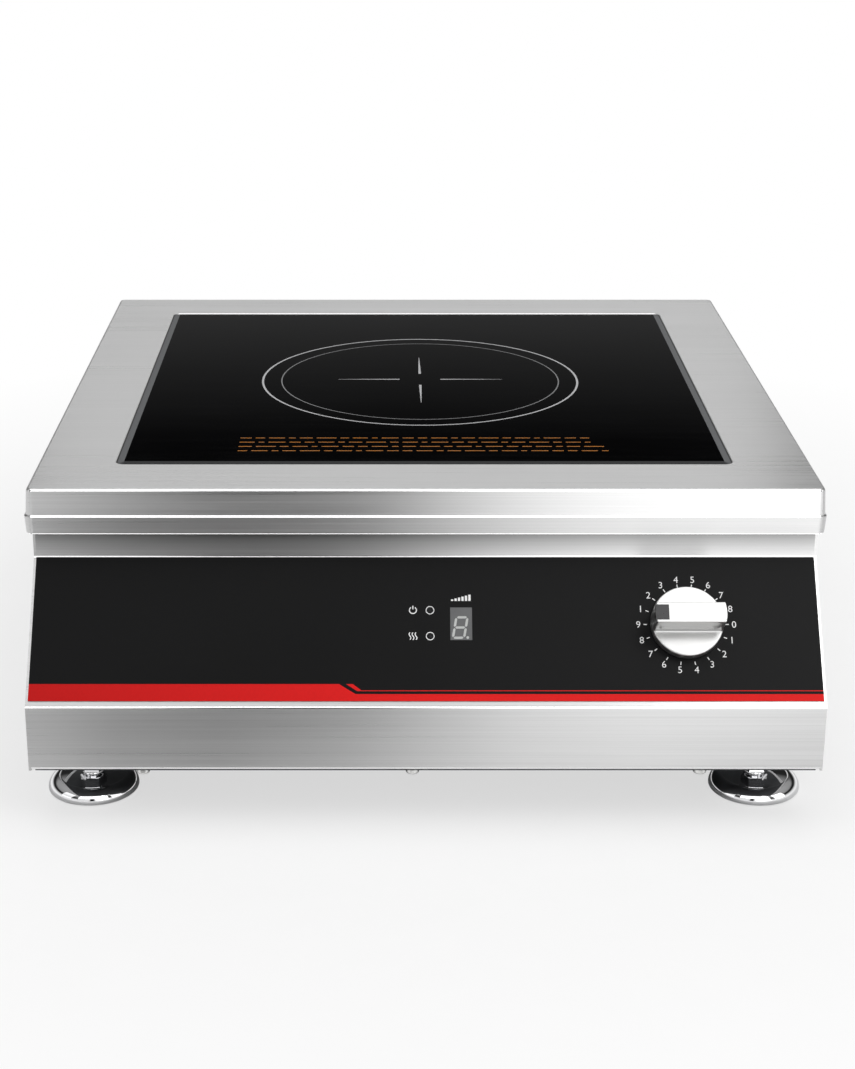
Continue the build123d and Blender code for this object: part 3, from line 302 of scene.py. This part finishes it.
def black_glass():
    """Polished black glass, ground on its bevel, with hairline wipe marks."""
    f = Finish("black_glass", GLASS_BLACK, 0.05, IOR=1.08)
    wipe = f.noise((14, 260, 40), 4.0)
    smear = f.grains(9.0)
    off_face = f.spread(f.normal_part(2), 1.0, 0.0, 0.985, 0.995)
    bevel = f.product(off_face, f.spread(f.normal_part(0), 0.25, 1.0, 0.05, 0.2))
    f.paint(f.blend(bevel, f.tint(f.share(smear), 0.8, 1.3), GROUND_GLASS))
    polish = f.math("ADD", f.spread(wipe, 0.02, 0.06), f.spread(smear, 0.0, 0.03))
    f.rough(f.mix(bevel, polish, GROUND_ROUGHNESS))
    return f.material


def satin_film():
    """Satin black film with a fine pebbled face."""
    f = Finish("overlay_film", (0.003, 0.003, 0.0032), 0.42, Specular_IOR_Level=0.105)
    pebble = f.grains(2600.0, 2.0)
    cloud = f.grains(8.0, 2.0)
    f.tint(f.share(cloud), 0.9, 1.15)
    f.rough(f.math("ADD", f.spread(cloud, 0.39, 0.45), f.spread(pebble, -0.03, 0.03)))
    f.bump(pebble, 0.000006, 0.5)
    return f.material


def ink(name, colour, roughness=0.5):
    """Screen print: slightly uneven in cover."""
    f = Finish(name, colour, roughness, Specular_IOR_Level=INK_GLOSS)
    cover = f.grains(INK_GRAIN)
    f.tint(f.share(cover), INK_FADE, 1.02)
    f.rough(f.spread(cover, roughness - 0.06, roughness + 0.06))
    return f.material


def red_ink():
    """Red print, with painted shade darkening it towards the left end of the panel."""
    f = Finish("red_ink", RED, 0.42, Specular_IOR_Level=INK_GLOSS)
    # Painted shade towards the left end; the grainy cover is the ink's own
    painted_shade_left = f.spread(f.along(0), 0.68, 1.0, -0.2, 0.0)
    cover = f.spread(f.grains(INK_GRAIN), 0.94, 1.0)
    f.paint(f.blend(f.product(painted_shade_left, cover), DARK_RED, RED))
    f.rough(f.spread(f.grains(900.0, 2.0), 0.38, 0.46))
    return f.material


def litz(name, colour):
    """Twisted enamelled copper strands."""
    f = Finish(name, colour, 0.35, Metallic=0.8)
    strand = f.noise((900, 900, 300))
    f.tint(f.share(strand), 0.6, 1.2)
    f.rough(f.spread(strand, 0.28, 0.45))
    f.bump(strand, 0.0001, 0.6)
    return f.material


def circuit_board(name):
    """Green lacquered board with lighter tracks."""
    f = Finish(name, (0.03, 0.2, 0.07), 0.35)
    cells = f.node("ShaderNodeTexVoronoi", distance="MANHATTAN", feature="DISTANCE_TO_EDGE")
    cells.inputs["Scale"].default_value = 140.0
    f.link(f.place, cells.inputs["Vector"])
    track = f.spread(cells.outputs["Distance"], 1.0, 0.0, 0.02, 0.05)
    f.paint(f.blend(track, (0.025, 0.17, 0.06), (0.05, 0.3, 0.11)))
    f.bump(track, 0.00003, 0.5)
    return f.material


def dress(material, *names):
    """Gives whole nodes one finish."""
    for name in names:
        for slot in nodes[name].material_slots:
            slot.material = material


FEET = [f"{end}_{side}" for end in ("front", "rear") for side in ("left", "right")]

# Casing
STEEL, STEEL_ROUGHNESS = (0.6, 0.6, 0.6), 0.3
rim_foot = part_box("deck")[0].z
side_steel = brushed("stainless", STEEL, STEEL_ROUGHNESS)
dress(side_steel, "left_side_panel", "right_side_panel", "rear_panel")
# The deck's lower hem takes a painted highlight
dress(brushed("deck_stainless", STEEL, STEEL_ROUGHNESS, hem=rim_foot), "deck")
# The front panel's neck gets a painted shadow under the rim
dress(brushed("front_stainless", STEEL, STEEL_ROUGHNESS, painted_shadow_top=rim_foot), "front_panel")
# Near-black colour on the base plate: painted shade for the shadow under the casing, which the chrome feet
# reflect
dress(moulded("base_zinc", (0.05, 0.052, 0.055), 0.6, 300.0, Metallic=0.5), "base_plate")
dress(plated("screw_steel", (0.75, 0.75, 0.74), 0.14), "case_screws")

# Glass and its seal, and the feet
dress(black_glass(), "glass_top")
rubber = moulded("rubber", (0.02, 0.02, 0.02), 0.7, 900.0)
dress(rubber, "glass_seal", *(f"foot_sole_{foot}" for foot in FEET))
chrome = plated("foot_chrome", (0.85, 0.85, 0.86), 0.035)
dress(chrome, *(f"foot_{part}_{foot}" for part in ("dish", "stem") for foot in FEET))

# Control panel
window = moulded("window_film", (0.145, 0.147, 0.15), 0.2, 3000.0, 0.000003, Specular_IOR_Level=0.2)
dress(satin_film(), "control_overlay")
dress(window, "display_window")
dress(moulded("display_face", (0.1, 0.1, 0.1), 0.4), "digit_display")
dress(moulded("led_lens", (0.008, 0.008, 0.009), 0.3, Specular_IOR_Level=0.2), "indicator_leds")
dress(plated("knob_metal", (0.52, 0.52, 0.515), 0.32, 0.1), "knob")
dress(moulded("knob_black", (0.012, 0.012, 0.013), 0.3), "knob_inlay")
dress(plated("shaft_steel", (0.6, 0.6, 0.6), 0.22), "switch_shaft")

# Inside
black_plastic = moulded("black_moulding", (0.02, 0.02, 0.021), 0.42)
dress(black_plastic, "rotary_switch", "fan_frame", "fan_rotor")
dress(black_plastic, "cord_bushing", "igbt_pair", "bridge_rectifier")
zinc = plated("zinc_steel", (0.62, 0.63, 0.64), 0.28)
dress(zinc, "glass_ledge", "coil_rails", "deck_nuts", "foot_weld_nuts", "foot_lock_nuts")
dress(zinc, "switch_nut", "coil_screws", "fan_screws")
dress(moulded("mica", (0.8, 0.76, 0.66), 0.8, 500.0, 0.0002), "insulation_sheet")
dress(litz("coil_wire", (0.62, 0.3, 0.13)), "induction_coil", "coil_leads")
dress(moulded("carrier_plastic", (0.1, 0.1, 0.1), 0.5), "coil_carrier", "board_standoffs")
dress(moulded("ferrite", (0.06, 0.06, 0.065), 0.45, 700.0), "ferrite_bars")
dress(moulded("sensor_rubber", (0.7, 0.7, 0.68), 0.6), "temperature_sensor")
dress(plated("spacer_metal", (0.7, 0.7, 0.71), 0.25), "coil_spacers", "control_standoffs")
dress(circuit_board("board_green"), "power_board", "control_board")
dress(plated("heatsink_metal", (0.68, 0.69, 0.7), 0.35), "heatsink")
dress(moulded("capacitor_case", (0.55, 0.42, 0.08), 0.3), "film_capacitors")
dress(moulded("choke_core", (0.12, 0.2, 0.1), 0.3), "filter_choke")
dress(moulded("terminal_white", (0.78, 0.77, 0.73), 0.4), "terminal_block")
dress(moulded("lead_insulation", (0.25, 0.12, 0.06), 0.45), "mains_leads")
dress(moulded("ribbon_grey", (0.45, 0.45, 0.46), 0.45), "control_ribbon")

# Prints: thin plates of ink on the panel and on the glass, in millimetres
PRINT_THICK = 0.02
white_ink = ink("white_ink", (0.88, 0.88, 0.88))
segment_ink = ink("segment_face", (0.52, 0.53, 0.52), 0.35)
grey_ink = ink("grey_ink", (0.46, 0.46, 0.47), 0.35)
dim_ink = ink("dim_ink", (0.2, 0.2, 0.205), 0.35)
orange_ink = ink("orange_ink", (0.5, 0.17, 0.014), 0.4)


class Print:
    """A print built up of flat shapes, on the face that place() maps to."""

    def __init__(self, name, place, low, material, slot):
        self.bm = bmesh.new()
        self.name, self.place, self.low, self.high = name, place, low, low + PRINT_THICK
        self.material, self.slot = material, slot

    def corners(self, outline, w):
        return [self.bm.verts.new(self.place(a, b, w)) for a, b in outline]

    def plate(self, outline):
        under = self.corners(outline, self.low)
        over = self.corners(outline, self.high)
        self.bm.faces.new(over)
        self.bm.faces.new(under[::-1])
        for i in range(len(outline)):
            j = (i + 1) % len(outline)
            self.bm.faces.new((under[i], under[j], over[j], over[i]))

    def band(self, outer, inner, closed):
        """A strip between two lines of as many points."""
        section = ((outer, self.high), (inner, self.high), (inner, self.low), (outer, self.low))
        rings = [self.corners(line, w) for line, w in section]
        count = len(outer)
        for i in range(count if closed else count - 1):
            j = (i + 1) % count
            for a, b in zip(rings, rings[1:] + rings[:1]):
                self.bm.faces.new((a[i], b[i], b[j], a[j]))
        if not closed:
            self.bm.faces.new([ring[0] for ring in rings[::-1]])
            self.bm.faces.new([ring[-1] for ring in rings])

    def arc(self, middle, r, width, steps, start=0.0, end=360.0):
        closed = end - start >= 360
        count = steps if closed else steps + 1
        turns = [math.radians(start + (end - start) * i / steps) for i in range(count)]
        lines = [
            [(middle[0] + q * math.cos(t), middle[1] + q * math.sin(t)) for t in turns]
            for q in (r + width / 2, r - width / 2)
        ]
        self.band(*lines, closed)

    def stroke(self, points, widths):
        """A line of changing width through the points."""
        sides = ([], [])
        for i, (x, y) in enumerate(points):
            before, after = points[max(0, i - 1)], points[min(len(points) - 1, i + 1)]
            d = Vector((after[0] - before[0], after[1] - before[1])).normalized()
            for side, sign in zip(sides, (0.5, -0.5)):
                side.append((x - d.y * widths[i] * sign, y + d.x * widths[i] * sign))
        self.band(sides[1], sides[0], False)

    def line(self, points, width):
        """A line of one width through the points."""
        self.stroke(points, [width] * len(points))

    def piece(self):
        bmesh.ops.recalc_face_normals(self.bm, faces=self.bm.faces)
        mesh = bpy.data.meshes.new(self.name)
        self.bm.to_mesh(mesh)
        self.bm.free()
        mesh.materials.append(self.material)
        made = add_object(self.name, mesh)
        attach(made, "casing")


def panel_print(name, material, slot="overlay_film"):
    return Print(name, on_panel, OVERLAY_FACE, material, slot)


def glass_print(name, material):
    return Print(name, on_glass, 0.0, material, "black_glass")


# Stepped red stripe along the foot of the panel, and the thin line above it
STRIPE_TOP, STEP_TOP = 6.95, 12.1
LINE_LOW, LINE_HIGH = 8.45, 8.85
STRIPE_STEP = ((-34.9, STRIPE_TOP), (-43.1, STEP_TOP))
LINE_STEP_UNDER = ((-39.7, STEP_TOP), (-34.1, LINE_LOW))
LINE_STEP_OVER = ((-32.0, LINE_HIGH), (-36.3, STEP_TOP))
stripe = panel_print("panel_stripe", red_ink())
stripe.plate(
    [
        (-OVERLAY_HALF, OVERLAY_LOW),
        (OVERLAY_HALF, OVERLAY_LOW),
        (OVERLAY_HALF, STRIPE_TOP),
        *STRIPE_STEP,
        (-OVERLAY_HALF, STEP_TOP),
    ]
)
stripe.plate([*LINE_STEP_UNDER, (OVERLAY_HALF, LINE_LOW), (OVERLAY_HALF, LINE_HIGH), *LINE_STEP_OVER])
stripe.piece()

# Rings round the two lamps
LED_U, POWER_V, HEAT_V = 2.3, 50.6, 37.0
LAMP_RING_R, LAMP_RING_WIDTH = 1.96, 0.4
SMALL_STEPS = 48
lamp_rings = panel_print("lamp_rings", white_ink)
for v in (POWER_V, HEAT_V):
    lamp_rings.arc((LED_U, v), LAMP_RING_R, LAMP_RING_WIDTH, SMALL_STEPS)
lamp_rings.piece()

# Signs: an open ring with a bar, three waves, and six rising bars over the display
SIGN_U, SIGN_WIDTH = -6.3, 0.5
POWER_R, POWER_START, POWER_END = 1.75, 125.0, 415.0
POWER_BAR = (0.5, 2.3)
WAVE_STEPS, WAVE_PITCH, WAVE_SWING, WAVE_HEIGHT = 16, 1.5, 0.45, 3.8
BAR_COUNT, BAR_PITCH, BAR_WIDTH = 6, 1.75, 1.15
BAR_LEFT, BAR_FOOT, BAR_FIRST, BAR_RISE = 12.9, 55.5, 0.8, 0.5
signs = panel_print("panel_signs", white_ink)
signs.arc((SIGN_U, POWER_V), POWER_R, SIGN_WIDTH, SMALL_STEPS, POWER_START, POWER_END)
signs.line([(SIGN_U, POWER_V + up) for up in POWER_BAR], SIGN_WIDTH)
for k in (-1, 0, 1):
    wave = []
    for i in range(WAVE_STEPS + 1):
        t = i / WAVE_STEPS
        swing = WAVE_SWING * math.sin(2 * math.pi * t)
        wave.append((SIGN_U + WAVE_PITCH * k + swing, HEAT_V + WAVE_HEIGHT * (t - 0.5)))
    signs.line(wave, SIGN_WIDTH)
for k in range(BAR_COUNT):
    left = BAR_LEFT + BAR_PITCH * k
    right = left + BAR_WIDTH
    top = BAR_FOOT + BAR_FIRST + BAR_RISE * k
    signs.plate([(left, BAR_FOOT), (right, BAR_FOOT), (right, top), (left, top)])
signs.piece()

# Seven-segment digit, leaning to the right, and its point
DIGIT_U, DIGIT_V = 17.4, 41.5
DIGIT_HALF_W, DIGIT_HALF_H = 2.8, 5.35
SEGMENT_WIDTH, SEGMENT_GAP = 1.2, 0.3
LEAN = math.tan(math.radians(9.7))
POINT_OUT, POINT_UP, POINT_R, POINT_STEPS = 0.9, 0.1, 0.7, 20
digit = panel_print("display_digit", segment_ink, "display_face")


def segment(start, end):
    """A bar with pointed ends between two places in the digit."""
    (x0, y0), (x1, y1) = start, end
    d = Vector((x1 - x0, y1 - y0)).normalized()
    side = Vector((-d.y, d.x)) * SEGMENT_WIDTH / 2
    tip = d * (SEGMENT_WIDTH / 2)
    a = Vector(start) + d * SEGMENT_GAP
    b = Vector(end) - d * SEGMENT_GAP
    outline = [a, a + tip - side, b - tip - side, b, b - tip + side, a + tip + side]
    digit.plate([(DIGIT_U + p.x + p.y * LEAN, DIGIT_V + p.y) for p in outline])


for level in (DIGIT_HALF_H, 0.0, -DIGIT_HALF_H):
    segment((-DIGIT_HALF_W, level), (DIGIT_HALF_W, level))
for foot in (0.0, -DIGIT_HALF_H):
    for side in (-DIGIT_HALF_W, DIGIT_HALF_W):
        segment((side, foot), (side, foot + DIGIT_HALF_H))
point_u = DIGIT_U + DIGIT_HALF_W + POINT_OUT
point_v = DIGIT_V - DIGIT_HALF_H + POINT_UP
turns = [2 * math.pi * i / POINT_STEPS for i in range(POINT_STEPS)]
digit.plate([(point_u + POINT_R * math.cos(t), point_v + POINT_R * math.sin(t)) for t in turns])
digit.piece()

# Dial scale: ticks and plain numbers round the knob
DIAL_U, DIAL_V = 130.7, 43.1
DIAL_NUMBERS = (*range(10), *range(1, 9))
DIAL_STEP = 2 * math.pi / len(DIAL_NUMBERS)
TICK_INNER, TICK_OUTER, TICK_WIDTH = 19.7, 21.4, 0.5
NUMBER_R, NUMBER_HEIGHT = 24.0, 3.4
GLYPH_HALF = 0.5


def on_dial(r, turn):
    return DIAL_U + r * math.cos(turn), DIAL_V + r * math.sin(turn)


def glyph_mesh(number):
    """A number as a flat slab about the plane z = 0."""
    font = bpy.data.curves.new("number", "FONT")
    font.body = str(number)
    font.align_x, font.align_y = "CENTER", "CENTER"
    font.extrude = GLYPH_HALF
    text = add_object("number", font)
    bpy.context.view_layer.update()
    mesh = bpy.data.meshes.new_from_object(text.evaluated_get(bpy.context.evaluated_depsgraph_get()))
    bpy.data.objects.remove(text)
    return mesh


ticks = panel_print("dial_ticks", white_ink)
for k in range(len(DIAL_NUMBERS)):
    ticks.line([on_dial(r, DIAL_STEP * k) for r in (TICK_INNER, TICK_OUTER)], TICK_WIDTH)
ticks.piece()

dial_numbers = panel_print("dial_numbers", white_ink)
for k, number in enumerate(DIAL_NUMBERS):
    glyph = glyph_mesh(number)
    xs = [p.co.x for p in glyph.vertices]
    ys = [p.co.y for p in glyph.vertices]
    size = NUMBER_HEIGHT / (max(ys) - min(ys))
    middle_x, middle_y = (max(xs) + min(xs)) / 2, (max(ys) + min(ys)) / 2
    number_u, number_v = on_dial(NUMBER_R, -DIAL_STEP * k)
    for p in glyph.vertices:
        u = number_u + (p.co.x - middle_x) * size
        v = number_v + (p.co.y - middle_y) * size
        p.co = on_panel(u, v, OVERLAY_FACE + PRINT_THICK * (p.co.z + GLYPH_HALF))
    dial_numbers.bm.from_mesh(glyph)
    bpy.data.meshes.remove(glyph)
dial_numbers.piece()

# Cooking zone: two circles and a cross mark on the glass
ZONE_R, ZONE_WIDTH = 92.2, 1.2
INNER_R, INNER_WIDTH = 81.2, 0.7
ZONE_STEPS = 180
CROSS_R, CROSS_WIDTHS = (12.0, 26.0, 48.0), (1.5, 1.1, 0.3)
zone = glass_print("zone_ring", grey_ink)
zone.arc((0, 0), ZONE_R, ZONE_WIDTH, ZONE_STEPS)
for quarter in range(4):
    turn = math.pi * quarter / 2
    zone.stroke([(r * math.cos(turn), r * math.sin(turn)) for r in CROSS_R], CROSS_WIDTHS)
zone.piece()
inner_zone = glass_print("zone_inner_ring", dim_ink)
inner_zone.arc((0, 0), INNER_R, INNER_WIDTH, ZONE_STEPS)
inner_zone.piece()

# Rows of dashes near the front of the glass; each row starts further on in the run of lengths
DASHES = (5.0, 8.5, 3.5, 7.0, 10.5, 4.5, 8.0, 3.0, 9.0, 6.0)
DASH_GAP, DASH_WIDTH, DASH_SHIFT = 2.2, 0.85, 3
ROW_COUNT, ROW_FIRST, ROW_PITCH, ROW_HALF = 4, -138.0, 7.5, 98.0
dashes = glass_print("glass_dashes", orange_ink)
for row in range(ROW_COUNT):
    y = ROW_FIRST + ROW_PITCH * row
    x, k = -ROW_HALF, DASH_SHIFT * row
    end = x + DASHES[k % len(DASHES)]
    while end < ROW_HALF:
        dashes.line([(x, y), (end, y)], DASH_WIDTH)
        x, k = end + DASH_GAP, k + 1
        end = x + DASHES[k % len(DASHES)]
dashes.piece()

# Stage: floor, world, lamps, cards and camera, in metres
CAMERA_RAY, MIRROR_RAY, GLASS_RAY = "Is Camera Ray", "Is Glossy Ray", "Is Transmission Ray"


def seen_rays(tree, first, *others):
    """1 for the named kinds of ray, 0 for the rest."""
    rays = tree.nodes.new("ShaderNodeLightPath")
    total = rays.outputs[first]
    for name in others:
        either = tree.nodes.new("ShaderNodeMath")
        either.operation = "MAXIMUM"
        tree.links.new(total, either.inputs[0])
        tree.links.new(rays.outputs[name], either.inputs[1])
        total = either.outputs[0]
    return total


def set_ramp(ramp, stops):
    """Greys at places from 0 to 1 along a colour ramp."""
    while len(ramp.elements) < len(stops):
        ramp.elements.new(1.0)
    for element, (place, grey) in zip(ramp.elements, stops):
        element.position = place
        element.color = (grey, grey, grey, 1.0)


# Pale floor: white further out, with the shadow near the cooker, and dark under it in mirrors
FLOOR_REACH, FLOOR_DROP = 12.0, 0.0002
NEAR_WHITE, WHITE_FROM, WHITE_TO = 0.65, 0.3, 0.7
UNDER_WHITE, FOOTPRINT, FOOTPRINT_EDGE = 0.02, 0.2, 0.06
FLOOR_CORNERS = ((-1, -1), (1, -1), (1, 1), (-1, 1))


def floor_paper():
    f = Finish("floor_paper", (0.86, 0.86, 0.86), 0.9)
    f.tint(f.share(f.grains(40.0, 2.0)), 0.99, 1.01)
    away = f.node("ShaderNodeVectorMath", operation="LENGTH")
    f.link(f.place, away.inputs[0])
    open_floor = f.spread(away.outputs["Value"], NEAR_WHITE, 1.0, WHITE_FROM, WHITE_TO)
    out_x, out_y = (f.math("ABSOLUTE", f.along(axis), 0.0) for axis in (0, 1))
    from_middle = f.math("MAXIMUM", out_x, out_y)
    clear = f.spread(from_middle, UNDER_WHITE, 1.0, FOOTPRINT, FOOTPRINT + FOOTPRINT_EDGE)
    seen = f.product(seen_rays(f.tree, CAMERA_RAY, GLASS_RAY), open_floor)
    mirrored = f.product(seen_rays(f.tree, MIRROR_RAY), f.product(open_floor, clear))
    lift = f.node("ShaderNodeMixShader")
    f.link(f.math("MAXIMUM", seen, mirrored), lift.inputs[0])
    f.link(f.shader.outputs[0], lift.inputs[1])
    f.link(f.node("ShaderNodeEmission").outputs[0], lift.inputs[2])
    f.surface(lift.outputs[0])
    return f.material


floor_mesh = bpy.data.meshes.new("floor")
floor_mesh.from_pydata([(a * FLOOR_REACH, b * FLOOR_REACH, 0) for a, b in FLOOR_CORNERS], [], [(0, 1, 2, 3)])
floor_mesh.materials.append(floor_paper())
floor = add_object("floor", floor_mesh)
floor.location.z = -FLOOR_DROP

# Even light, with white behind the cooker and greys by height in its metal and glass
AMBIENT = 0.4
SKY = ((0.0, 1.0), (0.12, 0.9), (0.24, 0.3), (0.3, 0.015), (0.42, 0.02), (0.52, 0.3), (1.0, 0.42))
world = bpy.data.worlds.new("studio")
bpy.context.scene.world = world
world.use_nodes = True
sky = world.node_tree
ambient = sky.nodes["Background"]
ambient.inputs["Color"].default_value = (1, 1, 1, 1)
ambient.inputs["Strength"].default_value = AMBIENT
direction = sky.nodes.new("ShaderNodeSeparateXYZ")
sky.links.new(sky.nodes.new("ShaderNodeTexCoord").outputs["Generated"], direction.inputs[0])
by_height = sky.nodes.new("ShaderNodeValToRGB")
set_ramp(by_height.color_ramp, SKY)
sky.links.new(direction.outputs[2], by_height.inputs[0])
bright = sky.nodes.new("ShaderNodeMath")
bright.operation = "MAXIMUM"
sky.links.new(by_height.outputs[0], bright.inputs[0])
sky.links.new(seen_rays(sky, CAMERA_RAY), bright.inputs[1])
shown = sky.nodes.new("ShaderNodeBackground")
shown.inputs["Strength"].default_value = 1.0
sky.links.new(bright.outputs[0], shown.inputs["Color"])
both = sky.nodes.new("ShaderNodeMixShader")
sky.links.new(seen_rays(sky, CAMERA_RAY, MIRROR_RAY, GLASS_RAY), both.inputs[0])
sky.links.new(ambient.outputs[0], both.inputs[1])
sky.links.new(shown.outputs[0], both.inputs[2])
sky.links.new(both.outputs[0], sky.nodes["World Output"].inputs["Surface"])

AIM = Vector((0.0, 0.0, 0.1))


def softbox(name, place, width, height, power):
    lamp = bpy.data.lights.new(name, "AREA")
    lamp.shape = "RECTANGLE"
    lamp.size, lamp.size_y = width, height
    lamp.energy = power
    made = add_object(name, lamp)
    made.location = place
    made.rotation_euler = (AIM - Vector(place)).to_track_quat("-Z", "Y").to_euler()


softbox("overhead", (0.0, -0.33, 2.2), 2.4, 1.55, 18.0)
softbox("right_high", (0.9, -1.3, 1.9), 0.9, 0.8, 11.0)
softbox("right_box", (2.0, -1.2, 1.0), 1.2, 1.6, 8.0)
softbox("left_box", (-2.0, -1.0, 1.0), 1.1, 1.5, 4.5)
softbox("back_box", (0.0, 2.2, 1.6), 1.4, 1.2, 5.0)

# Cards in front of the cooker that show only in its metal
CARD_HALF = 1.2
CARD_TOP = 2.1
STRIP_LINE, STRIP_STRENGTH = ((-1.7, 0.62), (-1.7, 1.6)), 1.8
SWEEP_LINE = ((-0.26, 0.002), (-1.35, 0.002), (-1.6, 0.1), (-1.7, 0.4), (-1.7, 0.6))
NEAR_START, NEAR_END = -0.48, -0.33


def glow_card(name, line):
    """A card along a line of (y, z) points: gives its finish and the socket for its strength."""
    mesh = bpy.data.meshes.new(name)
    mesh.from_pydata(
        [(side * CARD_HALF, y, z) for y, z in line for side in (-1, 1)],
        [],
        [(2 * i, 2 * i + 1, 2 * i + 3, 2 * i + 2) for i in range(len(line) - 1)],
    )
    f = Finish(name, BLACK, 1.0)
    light = f.node("ShaderNodeEmission")
    f.surface(light.outputs[0])
    mesh.materials.append(f.material)
    made = add_object(name, mesh)
    made.visible_camera = made.visible_diffuse = made.visible_shadow = made.visible_transmission = False
    return f, light.inputs["Strength"]


# A bright strip for the lines of light along the folds
glow_card("strip_card", STRIP_LINE)[1].default_value = STRIP_STRENGTH

# A sweep dim left of the middle and bright to the right, softer near the cooker: strengths by x
FAR_LEVELS = (
    (-1.2, 0.8),
    (-0.32, 0.9),
    (-0.28, 0.7),
    (-0.25, 0.12),
    (-0.22, 0.0),
    (-0.06, 0.0),
    (-0.03, 0.12),
    (0.0, 0.42),
    (0.05, 0.92),
    (0.1, 1.4),
    (0.16, 1.85),
    (0.26, 2.1),
    (1.2, 1.6),
)
NEAR_LEVELS = (
    (-1.2, 0.8),
    (-0.24, 0.75),
    (-0.2, 0.6),
    (-0.17, 0.42),
    (-0.11, 0.38),
    (-0.08, 0.5),
    (-0.04, 0.64),
    (0.0, 0.82),
    (0.05, 0.98),
    (0.12, 0.88),
    (0.18, 0.65),
    (0.22, 0.5),
    (1.2, 0.5),
)
sweep, sweep_strength = glow_card("sweep_card", SWEEP_LINE)
across = sweep.share(sweep.along(0), -CARD_HALF, CARD_HALF)
levels = []
for stops in (FAR_LEVELS, NEAR_LEVELS):
    ramp = sweep.node("ShaderNodeValToRGB")
    set_ramp(ramp.color_ramp, [((x + CARD_HALF) / (2 * CARD_HALF), level / CARD_TOP) for x, level in stops])
    sweep.link(across, ramp.inputs[0])
    levels.append(ramp.outputs[0])
nearness = sweep.share(sweep.along(1), NEAR_START, NEAR_END)
sweep.link(sweep.product(sweep.mix(nearness, *levels), CARD_TOP), sweep_strength)

# Camera: level from side to side, looking down, with the frame shifted sideways
CAMERA_PLACE, CAMERA_DOWN = (-0.01873, -1.16908, 0.50189), 20.014
SENSOR_WIDTH, LENS, SHIFT_X = 36.0, 70.63, 0.0368
camera_data = bpy.data.cameras.new("camera")
camera_data.sensor_width = SENSOR_WIDTH
camera_data.lens = LENS
camera_data.shift_x = SHIFT_X
camera = add_object("camera", camera_data)
tilt = Matrix.Rotation(math.radians(90.0 - CAMERA_DOWN), 4, "X")
camera.matrix_world = Matrix.Translation(CAMERA_PLACE) @ tilt
bpy.context.scene.camera = camera
bpy.context.scene.view_settings.view_transform = "Standard"

bpy.context.view_layer.update()
